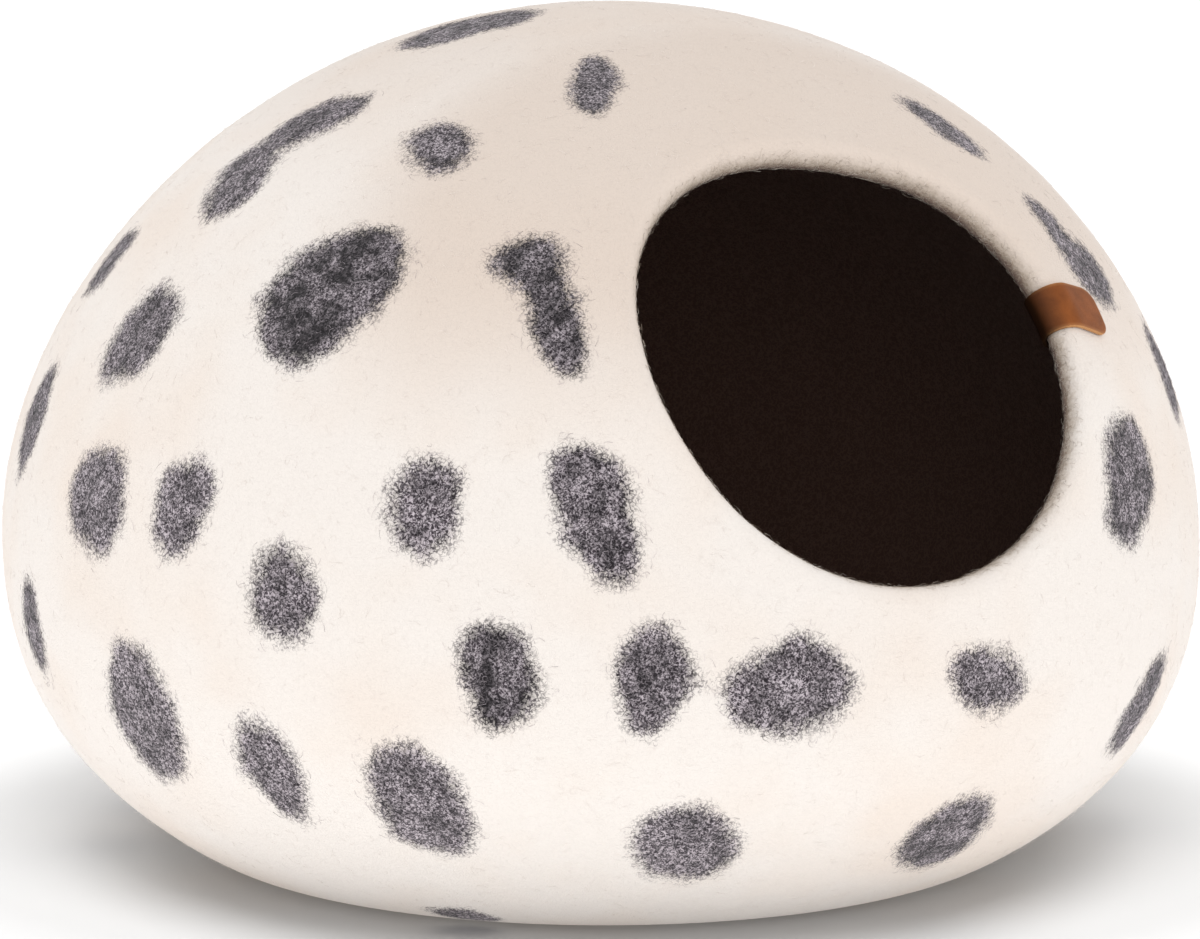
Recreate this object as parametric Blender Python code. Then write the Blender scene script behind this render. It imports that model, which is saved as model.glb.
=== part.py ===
"""Felt cat cave: a one-piece wet-felted wool shell with a round mouth, and a leather tab over its rim.

Metres, +Z up. The origin is on the floor under the middle of the shell. The mouth looks along -Y and up.
A place on the skin is given by two angles about the mouth's axis, which starts at the middle of the
shell's widest level: polar, 0 at the mouth's centre and pi at the far side, and turn, 0 towards +X and
a quarter turn towards the crown.
"""

import math

import bpy
import numpy as np

# The shell's outer skin, a rounded body that is a little flatter than an egg.
SHELL_WIDTH = 0.490
WAIST_HEIGHT = 0.129  # of the widest level over the floor
CROWN_RISE = 0.217  # from the widest level to the top
BOWL_DROP = 0.157  # from the widest level to the bowl's lowest point, before the floor flattens it
CROWN_POWER = 1.95  # 2 is an ellipse, and more is squarer
BOWL_POWER = 2.35
FLOOR_BLEND = 0.006  # height over which the bowl runs out into the flat base
CROWN_LEAN_X = 0.0048
CROWN_LEAN_Y = -0.0028

# Unevenness that the felting left: each swell is a soft rise, or a hollow where its height is negative.
SWELL_COLUMNS = ("azimuth_deg", "elevation_deg", "height", "spread_deg")
SWELLS = (
    (60, -25, 0.0020, 20),
    (60, 22, -0.0012, 16),
    (-120, -25, -0.0020, 16),
    (-120, 0, 0.0013, 14),
    (-100, 58, 0.0022, 14),
    (10, -22, 0.0012, 18),
    (150, 12, 0.0020, 22),
    (-170, 38, -0.0022, 18),
    (110, 48, -0.0016, 16),
    (-60, 20, -0.0012, 18),
)

# The felt wall, and its rim, which is thicker and round.
WALL = 0.011
RIM_THICKNESS = 0.014
RIM_FADE = 0.035  # distance from the rim over which the wall thins

# The mouth lies in a plane that leans back, and its edge wavers a little in and out of that plane.
MOUTH_TILT = math.radians(32)
MOUTH_REACH = 0.2075  # from the middle of the widest level to the mouth's plane
WAVER_COLUMNS = ("lobes", "height", "phase_deg")
WAVERS = (
    (2, 0.0014, 70),
    (3, 0.0011, 248),
)

# The leather tab, a strip folded over the rim.
TAB_TURN = math.radians(-4.0)
TAB_WIDTH = 0.020
TAB_THICKNESS = 0.0017
TAB_GAP = 0.0007  # between the leather and the felt
TAB_OUTER_LEG = 0.0185  # past the round of the rim
TAB_INNER_LEG = 0.012
TAB_CORNER = 0.0065  # radius of the two corners of the outer end
SPREAD = 0.6  # how much further from the mouth's axis the skin is, for each metre past the rim

# How finely the skins are divided.
SPOKES = 64
SKIN_ROWS = 25
RIM_ROWS = 6
ROW_GRADING = 1.35  # over 1, rows are closer near the rim
TAB_STATIONS = 7
TAB_LEG_STEPS = 4
TAB_ROUND_STEPS = 8
TAB_CORNER_STEPS = 4

ANGLE_STEP = 1e-4  # for the slopes of the skin
RIM_SEARCH = (0.1, 1.2)  # the rim lies between these polar angles
BISECTIONS = 30

WAIST = np.array((0.0, 0.0, WAIST_HEIGHT))
MOUTH_AXIS = np.array((0.0, -math.cos(MOUTH_TILT), math.sin(MOUTH_TILT)))
ACROSS = np.array((1.0, 0.0, 0.0))
UP_MOUTH = np.cross(ACROSS, -MOUTH_AXIS)


def compass(azimuth_deg, elevation_deg):
    """The direction at an azimuth from -Y towards +X, and an elevation."""
    azimuth = math.radians(azimuth_deg)
    elevation = math.radians(elevation_deg)
    level = math.cos(elevation)
    return np.array((math.sin(azimuth) * level, -math.cos(azimuth) * level, math.sin(elevation)))


def swell_height(directions):
    """How far the unevenness moves the skin out, for each direction from the waist's middle."""
    total = np.zeros(len(directions))
    for row in SWELLS:
        swell = dict(zip(SWELL_COLUMNS, row))
        middle = compass(swell["azimuth_deg"], swell["elevation_deg"])
        away = np.arccos(np.clip(directions @ middle, -1.0, 1.0))
        total += swell["height"] * np.exp(-0.5 * (away / math.radians(swell["spread_deg"])) ** 2)
    return total


def above_floor(heights):
    """Heights that run out smoothly into the floor at 0, and are exactly 0 further down."""
    near = np.clip(1.0 - np.abs(heights) / FLOOR_BLEND, 0.0, None)
    return np.maximum(heights, 0.0) + near**2 * FLOOR_BLEND / 4


def skin(polar, turn):
    """Points of the outer skin, one for each pair of angles."""
    polar, turn = np.broadcast_arrays(polar, turn)
    outward = np.cos(turn)[:, None] * ACROSS + np.sin(turn)[:, None] * UP_MOUTH
    directions = np.cos(polar)[:, None] * MOUTH_AXIS + np.sin(polar)[:, None] * outward
    level = np.hypot(directions[:, 0], directions[:, 1])
    rise = directions[:, 2]
    depth = np.where(rise > 0, CROWN_RISE, BOWL_DROP)
    power = np.where(rise > 0, CROWN_POWER, BOWL_POWER)
    size = (level / (SHELL_WIDTH / 2)) ** power + (np.abs(rise) / depth) ** power
    points = directions * (size ** (-1 / power) + swell_height(directions))[:, None]
    lean = np.clip(points[:, 2] / CROWN_RISE, 0.0, 1.0) ** 1.5
    points[:, 0] += CROWN_LEAN_X * lean
    points[:, 1] += CROWN_LEAN_Y * lean
    points[:, 2] = above_floor(points[:, 2] + WAIST_HEIGHT)
    return points


def skin_frame(polar, turn):
    """The skin's points, its unit normals, and its unit directions away from the mouth."""
    polar, turn = np.broadcast_arrays(np.asarray(polar, float), np.asarray(turn, float))
    away = skin(polar + ANGLE_STEP, turn) - skin(polar - ANGLE_STEP, turn)
    around = skin(polar, turn + ANGLE_STEP) - skin(polar, turn - ANGLE_STEP)
    away /= np.linalg.norm(away, axis=1)[:, None]
    normals = np.cross(away, around)
    normals /= np.linalg.norm(normals, axis=1)[:, None]
    return skin(polar, turn), normals, away


def rim_polar(turn):
    """The polar angle at which the middle of the felt's edge lies on the wavering mouth plane."""
    reach = np.full(len(turn), MOUTH_REACH)
    for row in WAVERS:
        waver = dict(zip(WAVER_COLUMNS, row))
        reach += waver["height"] * np.cos(waver["lobes"] * turn - math.radians(waver["phase_deg"]))
    low = np.full(len(turn), RIM_SEARCH[0])
    high = np.full(len(turn), RIM_SEARCH[1])
    for _ in range(BISECTIONS):
        polar = (low + high) / 2
        points, normals, _away = skin_frame(polar, turn)
        middles = points - normals * RIM_THICKNESS / 2
        inside_mouth = (middles - WAIST) @ MOUTH_AXIS > reach
        low = np.where(inside_mouth, polar, low)
        high = np.where(inside_mouth, high, polar)
    return polar


def thickness_at(distance):
    """The felt's thickness at a distance from the rim."""
    return WALL + (RIM_THICKNESS - WALL) * np.exp(-((distance / RIM_FADE) ** 2))


def rim_round(turn, angle, offset=0.0):
    """Points around the rim's half circle, or off it: angle 0 is the outer skin, pi the inner one."""
    points, normals, away = skin_frame(rim_polar(turn), turn)
    radius = RIM_THICKNESS / 2
    middles = points - normals * radius
    return middles + (radius + offset) * (math.cos(angle) * normals - math.sin(angle) * away)


def shell_rows():
    """The shell's rows of points, from the far side over the outer skin and the rim, and back inside."""
    turn = np.arange(SPOKES) * math.tau / SPOKES
    start = rim_polar(turn)
    rim_points = skin(start, turn)
    outer, inner = [], []
    for step in range(SKIN_ROWS):
        share = (step / SKIN_ROWS) ** ROW_GRADING
        polar = start + (math.pi - start) * share
        points, normals, _away = skin_frame(polar, turn)
        distance = np.linalg.norm(points - rim_points, axis=1)
        outer.append(points)
        inner.append(points - normals * thickness_at(distance)[:, None])
    rim = [rim_round(turn, math.pi * step / RIM_ROWS) for step in range(1, RIM_ROWS)]
    return outer[::-1] + rim + inner


def far_points():
    """The points where the outer and the inner skin close, opposite the mouth."""
    points, normals, _away = skin_frame(np.array((math.pi - ANGLE_STEP * 2,)), np.array((0.0,)))
    return points[0], points[0] - normals[0] * WALL


def shell_geometry():
    """Vertices and faces of the whole shell, with its faces pointing out of the felt."""
    rows = shell_rows()
    outer_end, inner_end = far_points()
    vertices = [outer_end] + [point for row in rows for point in row] + [inner_end]
    faces = []
    last = len(vertices) - 1
    for spoke in range(SPOKES):
        after = (spoke + 1) % SPOKES
        faces.append((0, 1 + after, 1 + spoke))
        for row in range(len(rows) - 1):
            here = 1 + row * SPOKES
            there = here + SPOKES
            faces.append((here + spoke, here + after, there + after, there + spoke))
        faces.append((last, last - SPOKES + spoke, last - SPOKES + after))
    return vertices, faces


def tab_turn(across, past_round):
    """The turn of a point of the strip, at a distance across it and one past the round of the rim."""
    rim = rim_polar(np.array((TAB_TURN,)))[0]
    reach = SHELL_WIDTH / 2 * math.sin(rim) + SPREAD * past_round
    return np.array((TAB_TURN + across / reach,))


def tab_leg_point(across, past_round, offset, outside):
    """A point of one of the strip's legs, at a distance past the round of the rim."""
    turn = tab_turn(across, past_round)
    start = rim_polar(turn)
    length_per_radian = np.linalg.norm(skin(start + ANGLE_STEP, turn) - skin(start, turn)) / ANGLE_STEP
    points, normals, _away = skin_frame(start + past_round / length_per_radian, turn)
    if outside:
        return points[0] + normals[0] * offset
    return points[0] - normals[0] * (thickness_at(past_round) + offset)


def tab_path(share, offset):
    """Points along the strip from its inner end over the rim to its outer end, at a share of its half width."""
    across = share * TAB_WIDTH / 2
    path = []
    for step in range(TAB_LEG_STEPS):
        past_round = TAB_INNER_LEG * (1 - step / TAB_LEG_STEPS)
        path.append(tab_leg_point(across, past_round, offset, outside=False))
    for step in range(TAB_ROUND_STEPS + 1):
        angle = math.pi * (1 - step / TAB_ROUND_STEPS)
        path.append(rim_round(tab_turn(across, 0.0), angle, offset)[0])
    for step in range(1, TAB_LEG_STEPS + 1):
        past_round = (TAB_OUTER_LEG - TAB_CORNER) * step / TAB_LEG_STEPS
        path.append(tab_leg_point(across, past_round, offset, outside=True))
    for step in range(1, TAB_CORNER_STEPS + 1):
        angle = math.pi / 2 * step / TAB_CORNER_STEPS
        past_round = TAB_OUTER_LEG - TAB_CORNER * (1 - math.sin(angle))
        narrowed = TAB_CORNER * (1 - math.cos(angle))
        path.append(tab_leg_point(share * (TAB_WIDTH / 2 - narrowed), past_round, offset, outside=True))
    return path


def tab_geometry():
    """Vertices and faces of the folded strip: its two sides, and its four cut edges."""
    paths = []
    for offset in (TAB_GAP + TAB_THICKNESS, TAB_GAP):
        for station in range(TAB_STATIONS):
            share = 2 * station / (TAB_STATIONS - 1) - 1
            paths.append(tab_path(share, offset))
    steps = len(paths[0])
    vertices = [point for path in paths for point in path]

    def corner(station, step, side):
        """The index of a vertex, where side 0 is the face away from the felt and side 1 the one on it."""
        return (side * TAB_STATIONS + station) * steps + step

    def edge_face(first, second):
        """The face of the cut edge between two neighbouring places."""
        return [corner(*first, 0), corner(*second, 0), corner(*second, 1), corner(*first, 1)]

    faces = []
    for station in range(TAB_STATIONS - 1):
        for step in range(steps - 1):
            places = [(station, step), (station, step + 1), (station + 1, step + 1), (station + 1, step)]
            faces.append([corner(*place, 0) for place in places])
            faces.append([corner(*place, 1) for place in reversed(places)])
        faces.append(edge_face((station, 0), (station + 1, 0)))
        faces.append(edge_face((station + 1, steps - 1), (station, steps - 1)))
    for step in range(steps - 1):
        faces.append(edge_face((0, step + 1), (0, step)))
        faces.append(edge_face((TAB_STATIONS - 1, step), (TAB_STATIONS - 1, step + 1)))
    return vertices, faces


def add_object(name, geometry, color, roughness):
    """A smooth-shaded object with one plain material."""
    vertices, faces = geometry
    mesh = bpy.data.meshes.new(name)
    mesh.from_pydata([tuple(point) for point in vertices], [], faces)
    mesh.validate()
    mesh.shade_smooth()
    material = bpy.data.materials.new(name)
    material.use_nodes = True
    surface = material.node_tree.nodes["Principled BSDF"]
    surface.inputs["Base Color"].default_value = (*color, 1.0)
    surface.inputs["Roughness"].default_value = roughness
    surface.inputs["Metallic"].default_value = 0.0
    mesh.materials.append(material)
    piece = bpy.data.objects.new(name, mesh)
    bpy.context.scene.collection.objects.link(piece)
    return piece


def clear_scene():
    """Remove whatever the file holds."""
    for piece in list(bpy.data.objects):
        bpy.data.objects.remove(piece, do_unlink=True)


def build():
    """Make the shell and the tab."""
    clear_scene()
    add_object("felt_shell", shell_geometry(), color=(0.87, 0.83, 0.77), roughness=0.95)
    tab = add_object("leather_tab", tab_geometry(), color=(0.30, 0.13, 0.05), roughness=0.5)
    tab.data.set_sharp_from_angle(angle=math.radians(40))


build()
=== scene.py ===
"""The looks of the felt cat cave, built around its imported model.

Metres, +Z up, in the model's own frame. The shell's skin follows the same formula as its solid: a place on
it is given by two angles about the mouth's axis, which starts at the middle of the shell's widest level:
polar, 0 at the mouth's centre and pi at the far side, and turn, 0 towards +X and a quarter turn towards
the crown. Places that were read off the photograph are pixels of its 1200 x 939 frame.
"""

import logging
import math
from dataclasses import dataclass, field
from enum import Enum

import bpy
import numpy as np
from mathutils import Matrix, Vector
from mathutils.bvhtree import BVHTree

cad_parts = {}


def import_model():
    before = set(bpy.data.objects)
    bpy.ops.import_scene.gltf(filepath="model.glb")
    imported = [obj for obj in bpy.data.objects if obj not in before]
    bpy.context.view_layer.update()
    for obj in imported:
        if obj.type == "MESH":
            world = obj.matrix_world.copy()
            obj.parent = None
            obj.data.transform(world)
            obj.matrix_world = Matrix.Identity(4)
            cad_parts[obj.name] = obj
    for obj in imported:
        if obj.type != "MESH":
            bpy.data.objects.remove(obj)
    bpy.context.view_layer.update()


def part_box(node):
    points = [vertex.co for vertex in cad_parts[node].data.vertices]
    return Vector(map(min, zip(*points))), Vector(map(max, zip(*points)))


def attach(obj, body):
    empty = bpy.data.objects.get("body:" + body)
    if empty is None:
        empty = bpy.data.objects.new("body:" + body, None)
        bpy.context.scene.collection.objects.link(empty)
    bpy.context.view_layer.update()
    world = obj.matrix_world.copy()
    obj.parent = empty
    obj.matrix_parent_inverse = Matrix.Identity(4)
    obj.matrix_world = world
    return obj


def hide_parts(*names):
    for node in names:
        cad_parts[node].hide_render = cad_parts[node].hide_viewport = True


log = logging.getLogger("felt_cave")

MM = 0.001
ANGLE_STEP = 1e-4  # for the slopes of the skin
SHELL_NODE = "felt_shell"
TAB_NODE = "leather_tab"

# Names of what the meshes carry on their points for the materials and the geometry trees.
SPOT_DEPTH = "spot_mm"  # distance past the border of the nearest spot, negative inside it
SPOT_TONE = "spot_tone"  # how light the nearest spot's wool is
INWARD = "inward_mm"  # way along the skin from the rim's outer side, positive towards the inside
SHADE = "shade"  # a random number for each strand
OUTWARD = "outward"  # the felt's normal under each strand
CUT_EDGE = "cut_edge"  # 1 on the leather's cut edges, less where it is rubbed beside them
BURNISH_AND_SHADE = "bend"  # how dark burnish and painted shade make the leather, most on the side towards the hole


# ---------------------------------------------------------------- shared helpers


def linear(colour: str) -> tuple[float, float, float, float]:
    """Turn an sRGB colour into the linear one that Blender's sockets take.

    Args:
        colour: the colour as six hex digits, such as "f4ece2".

    Returns:
        Linear red, green and blue, and an alpha of 1.
    """
    shares = [int(colour[start : start + 2], 16) / 255 for start in (0, 2, 4)]
    red, green, blue = (c / 12.92 if c <= 0.04045 else ((c + 0.055) / 1.055) ** 2.4 for c in shares)
    return red, green, blue, 1.0


def add_node(
    tree: bpy.types.NodeTree, kind: str, inputs: dict[str | int, object] | None = None, **settings: object
) -> bpy.types.Node:
    """Add a node with its settings, and fill or link its inputs.

    Args:
        tree: the shader or geometry tree.
        kind: the node's type, as Blender names it.
        inputs: for each input's name or number, a value or the output socket that feeds it.
        **settings: the node's own properties, set before its inputs.

    Returns:
        The new node.
    """
    node = tree.nodes.new(kind)
    for name, value in settings.items():
        setattr(node, name, value)
    for name, value in (inputs or {}).items():
        if isinstance(value, bpy.types.NodeSocket):
            tree.links.new(value, node.inputs[name])
        else:
            node.inputs[name].default_value = value
    return node


def direction(azimuth_deg: float, elevation_deg: float) -> np.ndarray:
    """Turn two angles into a direction.

    Args:
        azimuth_deg: degrees from -Y, positive towards +X.
        elevation_deg: degrees above level.

    Returns:
        The unit direction.
    """
    azimuth = math.radians(azimuth_deg)
    elevation = math.radians(elevation_deg)
    level = math.cos(elevation)
    return np.array((math.sin(azimuth) * level, -math.cos(azimuth) * level, math.sin(elevation)))


def new_material(name: str) -> tuple[bpy.types.Material, bpy.types.NodeTree, bpy.types.Node]:
    """Make a material with one Principled shader.

    Args:
        name: the real material and how it was made.

    Returns:
        The material, its tree and its shader.
    """
    material = bpy.data.materials.new(name)
    material.use_nodes = True
    return material, material.node_tree, material.node_tree.nodes["Principled BSDF"]


def add_piece(name: str, mesh: bpy.types.Mesh) -> bpy.types.Object:
    """Link a mesh as an object at the origin.

    Args:
        name: the piece's name.
        mesh: its mesh, in the model's frame.

    Returns:
        The object.
    """
    piece = bpy.data.objects.new(name, mesh)
    bpy.context.scene.collection.objects.link(piece)
    return piece


def mesh_from(name: str, vertices: np.ndarray, faces: list[tuple[int, ...]]) -> bpy.types.Mesh:
    """Make a smooth mesh.

    Args:
        name: the mesh's name.
        vertices: one row of three numbers for each vertex.
        faces: the vertex numbers of each face, anticlockwise from outside.

    Returns:
        The mesh.
    """
    mesh = bpy.data.meshes.new(name)
    mesh.from_pydata(vertices.tolist(), [], faces)
    mesh.shade_smooth()
    return mesh


def set_attribute(mesh: bpy.types.Mesh, name: str, values: np.ndarray) -> None:
    """Store one number on each vertex.

    Args:
        mesh: the mesh that gets them.
        name: the attribute's name.
        values: the numbers, in the order of the vertices.
    """
    attribute = mesh.attributes.new(name, "FLOAT", "POINT")
    attribute.data.foreach_set("value", np.asarray(values, np.float32))


def grown(
    name: str, base: bpy.types.Mesh, tree: bpy.types.NodeTree, values: dict[str, object]
) -> bpy.types.Object:
    """Run a geometry tree on a mesh and keep the result as a plain mesh.

    Args:
        name: the new piece's name.
        base: the mesh that the tree starts from.
        tree: the geometry tree.
        values: a value for each named input of the tree.

    Returns:
        The new piece, with no modifier left on it.
    """
    piece = add_piece(name, base)
    modifier = piece.modifiers.new(tree.name, "NODES")
    modifier.node_group = tree
    for socket in tree.interface.items_tree:
        if socket.item_type == "SOCKET" and socket.in_out == "INPUT" and socket.name in values:
            modifier[socket.identifier] = values[socket.name]
    graph = bpy.context.evaluated_depsgraph_get()
    made = bpy.data.meshes.new_from_object(
        piece.evaluated_get(graph), preserve_all_data_layers=True, depsgraph=graph
    )
    made.name = name
    piece.modifiers.remove(modifier)
    piece.data = made
    return piece


def group_tree(name: str, sockets: dict[str, str]) -> tuple[bpy.types.NodeTree, bpy.types.Node]:
    """Start a geometry tree that takes a mesh and gives one back.

    Args:
        name: the tree's name.
        sockets: the type of each named input after the mesh.

    Returns:
        The tree and its input node.
    """
    tree = bpy.data.node_groups.new(name, "GeometryNodeTree")
    tree.interface.new_socket("Geometry", in_out="OUTPUT", socket_type="NodeSocketGeometry")
    tree.interface.new_socket("Geometry", in_out="INPUT", socket_type="NodeSocketGeometry")
    for label, kind in sockets.items():
        tree.interface.new_socket(label, in_out="INPUT", socket_type=kind)
    return tree, add_node(tree, "NodeGroupInput")


# ---------------------------------------------------------------- camera


@dataclass(frozen=True)
class PhotoCamera:
    """The camera, placed as the photograph's was.

    It looks at the middle of the shell's widest level, from a little above it and from its left.
    """

    azimuth_deg: float = -30.0
    elevation_deg: float = 10.0
    distance: float = 2.2
    frame_width_px: float = 1200.0
    frame_height_px: float = 939.0
    pixels_per_metre: float = 2423.0  # at the distance of the middle
    middle_x_px: float = 601.0
    middle_y_px: float = 529.0
    sensor_width_mm: float = 36.0

    def towards(self) -> np.ndarray:
        """Return the unit direction from the shell's middle to the camera."""
        return direction(self.azimuth_deg, self.elevation_deg)

    def place(self, middle: np.ndarray) -> bpy.types.Object:
        """Make the scene's camera.

        Args:
            middle: the middle of the shell's widest level.

        Returns:
            The camera object.
        """
        data = bpy.data.cameras.new("photo_camera")
        data.sensor_width = self.sensor_width_mm
        data.lens = self.focal_px() / self.frame_width_px * self.sensor_width_mm
        data.shift_x = (self.frame_width_px / 2 - self.middle_x_px) / self.frame_width_px
        data.shift_y = (self.middle_y_px - self.frame_height_px / 2) / self.frame_width_px
        camera = bpy.data.objects.new("photo_camera", data)
        camera.location = self.eye(middle)
        camera.rotation_euler = Vector(-self.towards()).to_track_quat("-Z", "Y").to_euler()
        bpy.context.scene.collection.objects.link(camera)
        bpy.context.scene.camera = camera
        return camera

    def focal_px(self) -> float:
        """Return the focal length in pixels."""
        return self.pixels_per_metre * self.distance

    def axes(self) -> tuple[np.ndarray, np.ndarray]:
        """Work out how the picture lies in space.

        Returns:
            The unit directions of its right and its up.
        """
        right = np.cross(-self.towards(), (0.0, 0.0, 1.0))
        right /= np.linalg.norm(right)
        return right, np.cross(right, -self.towards())

    def eye(self, middle: np.ndarray) -> np.ndarray:
        """Return the camera's place, for the middle of the shell's widest level."""
        return middle + self.towards() * self.distance

    def sight(self, x_px: float, y_px: float) -> np.ndarray:
        """Find the unit direction in which the camera sees a pixel.

        Args:
            x_px: pixels from the frame's left.
            y_px: pixels from its top.

        Returns:
            The direction from the camera.
        """
        right, up = self.axes()
        aside = (x_px - self.middle_x_px) / self.focal_px()
        above = (self.middle_y_px - y_px) / self.focal_px()
        line = -self.towards() + aside * right + above * up
        return line / np.linalg.norm(line)


# ---------------------------------------------------------------- the shell's form


@dataclass(frozen=True)
class Swell:
    """A soft rise of the felted skin, or a hollow where its height is negative."""

    azimuth_deg: float
    elevation_deg: float
    height: float
    spread_deg: float


@dataclass(frozen=True)
class Waver:
    """A wave of the mouth's edge in and out of its plane."""

    lobes: int
    height: float
    phase_deg: float


SWELLS = (
    Swell(60, -25, 0.0020, 20),
    Swell(60, 22, -0.0012, 16),
    Swell(-120, -25, -0.0020, 16),
    Swell(-120, 0, 0.0013, 14),
    Swell(-100, 58, 0.0022, 14),
    Swell(10, -22, 0.0012, 18),
    Swell(150, 12, 0.0020, 22),
    Swell(-170, 38, -0.0022, 18),
    Swell(110, 48, -0.0016, 16),
    Swell(-60, 20, -0.0012, 18),
)
WAVERS = (Waver(2, 0.0014, 70), Waver(3, 0.0011, 248))


@dataclass(frozen=True)
class Skin:
    """The outer skin's formula, the felt's thickness under it, and the round of the mouth's rim."""

    width: float
    waist_height: float = 0.129  # of the widest level over the floor
    crown_rise: float = 0.217  # from the widest level to the top
    bowl_drop: float = 0.157  # from there to the bowl's lowest point, before the floor flattens it
    crown_power: float = 1.95  # 2 is an ellipse, and more is squarer
    bowl_power: float = 2.35
    floor_blend: float = 0.006  # height over which the bowl runs out into the flat base
    crown_lean_x: float = 0.0048
    crown_lean_y: float = -0.0028
    wall: float = 0.011
    rim_thickness: float = 0.014
    rim_fade: float = 0.035  # distance from the rim over which the wall thins
    mouth_tilt_deg: float = 32.0
    mouth_reach: float = 0.2075  # from the middle of the widest level to the mouth's plane
    rim_search: tuple[float, float] = (0.1, 1.2)  # the rim lies between these polar angles
    bisections: int = 30

    def waist(self) -> np.ndarray:
        """Return the middle of the widest level."""
        return np.array((0.0, 0.0, self.waist_height))

    def mouth_axis(self) -> np.ndarray:
        """Return the unit direction that the mouth looks in."""
        tilt = math.radians(self.mouth_tilt_deg)
        return np.array((0.0, -math.cos(tilt), math.sin(tilt)))

    def swell_height(self, directions: np.ndarray) -> np.ndarray:
        """Work out how far the unevenness moves the skin out.

        Args:
            directions: unit directions from the waist's middle.

        Returns:
            A distance for each direction.
        """
        total = np.zeros(len(directions))
        for swell in SWELLS:
            middle = direction(swell.azimuth_deg, swell.elevation_deg)
            away = np.arccos(np.clip(directions @ middle, -1.0, 1.0))
            total += swell.height * np.exp(-0.5 * (away / math.radians(swell.spread_deg)) ** 2)
        return total

    def points(self, polar: np.ndarray, turn: np.ndarray) -> np.ndarray:
        """Find points of the outer skin.

        Args:
            polar: angles from the mouth's axis.
            turn: angles around it.

        Returns:
            One point for each pair of angles.
        """
        polar, turn = np.broadcast_arrays(polar, turn)
        axis = self.mouth_axis()
        across = np.array((1.0, 0.0, 0.0))
        up_mouth = np.cross(across, -axis)
        outward = np.cos(turn)[:, None] * across + np.sin(turn)[:, None] * up_mouth
        directions = np.cos(polar)[:, None] * axis + np.sin(polar)[:, None] * outward
        level = np.hypot(directions[:, 0], directions[:, 1])
        rise = directions[:, 2]
        depth = np.where(rise > 0, self.crown_rise, self.bowl_drop)
        power = np.where(rise > 0, self.crown_power, self.bowl_power)
        size = (level / (self.width / 2)) ** power + (np.abs(rise) / depth) ** power
        points = directions * (size ** (-1 / power) + self.swell_height(directions))[:, None]
        lean = np.clip(points[:, 2] / self.crown_rise, 0.0, 1.0) ** 1.5
        points[:, 0] += self.crown_lean_x * lean
        points[:, 1] += self.crown_lean_y * lean
        points[:, 2] = self.above_floor(points[:, 2] + self.waist_height)
        return points

    def above_floor(self, heights: np.ndarray) -> np.ndarray:
        """Run heights out smoothly into the floor at 0.

        Args:
            heights: heights that may reach below the floor.

        Returns:
            The heights, none of them below 0.
        """
        near = np.clip(1.0 - np.abs(heights) / self.floor_blend, 0.0, None)
        return np.maximum(heights, 0.0) + near**2 * self.floor_blend / 4

    def frame(self, polar: np.ndarray, turn: np.ndarray) -> tuple[np.ndarray, np.ndarray, np.ndarray]:
        """Find points of the skin and its directions there.

        Args:
            polar: angles from the mouth's axis.
            turn: angles around it.

        Returns:
            The points, the unit normals, and the unit directions away from the mouth.
        """
        polar, turn = np.broadcast_arrays(np.asarray(polar, float), np.asarray(turn, float))
        away = self.points(polar + ANGLE_STEP, turn) - self.points(polar - ANGLE_STEP, turn)
        around = self.points(polar, turn + ANGLE_STEP) - self.points(polar, turn - ANGLE_STEP)
        away /= np.linalg.norm(away, axis=1)[:, None]
        normals = np.cross(away, around)
        normals /= np.linalg.norm(normals, axis=1)[:, None]
        return self.points(polar, turn), normals, away

    def rim_polar(self, turn: np.ndarray) -> np.ndarray:
        """Find the polar angle of the rim.

        Args:
            turn: angles around the mouth.

        Returns:
            For each, the angle at which the middle of the felt's edge lies on the wavering mouth plane.
        """
        reach = np.full(len(turn), self.mouth_reach)
        for waver in WAVERS:
            reach += waver.height * np.cos(waver.lobes * turn - math.radians(waver.phase_deg))
        low = np.full(len(turn), self.rim_search[0])
        high = np.full(len(turn), self.rim_search[1])
        for _ in range(self.bisections):
            polar = (low + high) / 2
            points, normals, _away = self.frame(polar, turn)
            middles = points - normals * self.rim_thickness / 2
            inside_mouth = (middles - self.waist()) @ self.mouth_axis() > reach
            low = np.where(inside_mouth, polar, low)
            high = np.where(inside_mouth, high, polar)
        return polar

    def thickness_at(self, distance: np.ndarray) -> np.ndarray:
        """Return the felt's thickness at distances from the rim."""
        return self.wall + (self.rim_thickness - self.wall) * np.exp(-((distance / self.rim_fade) ** 2))

    def rim_round(self, turn: np.ndarray, angle: float, offset: np.ndarray | float = 0.0) -> np.ndarray:
        """Find points around the rim's half circle, or off it.

        Args:
            turn: angles around the mouth.
            angle: 0 at the outer skin and pi at the inner one.
            offset: distance off the felt.

        Returns:
            One point for each turn.
        """
        points, normals, away = self.frame(self.rim_polar(turn), turn)
        radius = self.rim_thickness / 2
        reach = np.broadcast_to(radius + np.asarray(offset, float), turn.shape)[:, None]
        return points - normals * radius + reach * (math.cos(angle) * normals - math.sin(angle) * away)


# ---------------------------------------------------------------- spots


@dataclass(frozen=True)
class Blob:
    """One rounded patch of grey wool as the photograph shows it, in pixels.

    The tilt is that of its long side, anticlockwise from level.
    """

    x: float
    y: float
    half_length: float
    half_width: float
    tilt_deg: float


class SpotTone(Enum):
    """How light a spot's wool looks from a step away."""

    DARK = 0.00
    MIDDLE = 0.45
    LIGHT = 0.75


@dataclass(frozen=True)
class Spot:
    """A grey spot of the photograph, as the union of its blobs."""

    tone: SpotTone
    blobs: tuple[Blob, ...]


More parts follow.
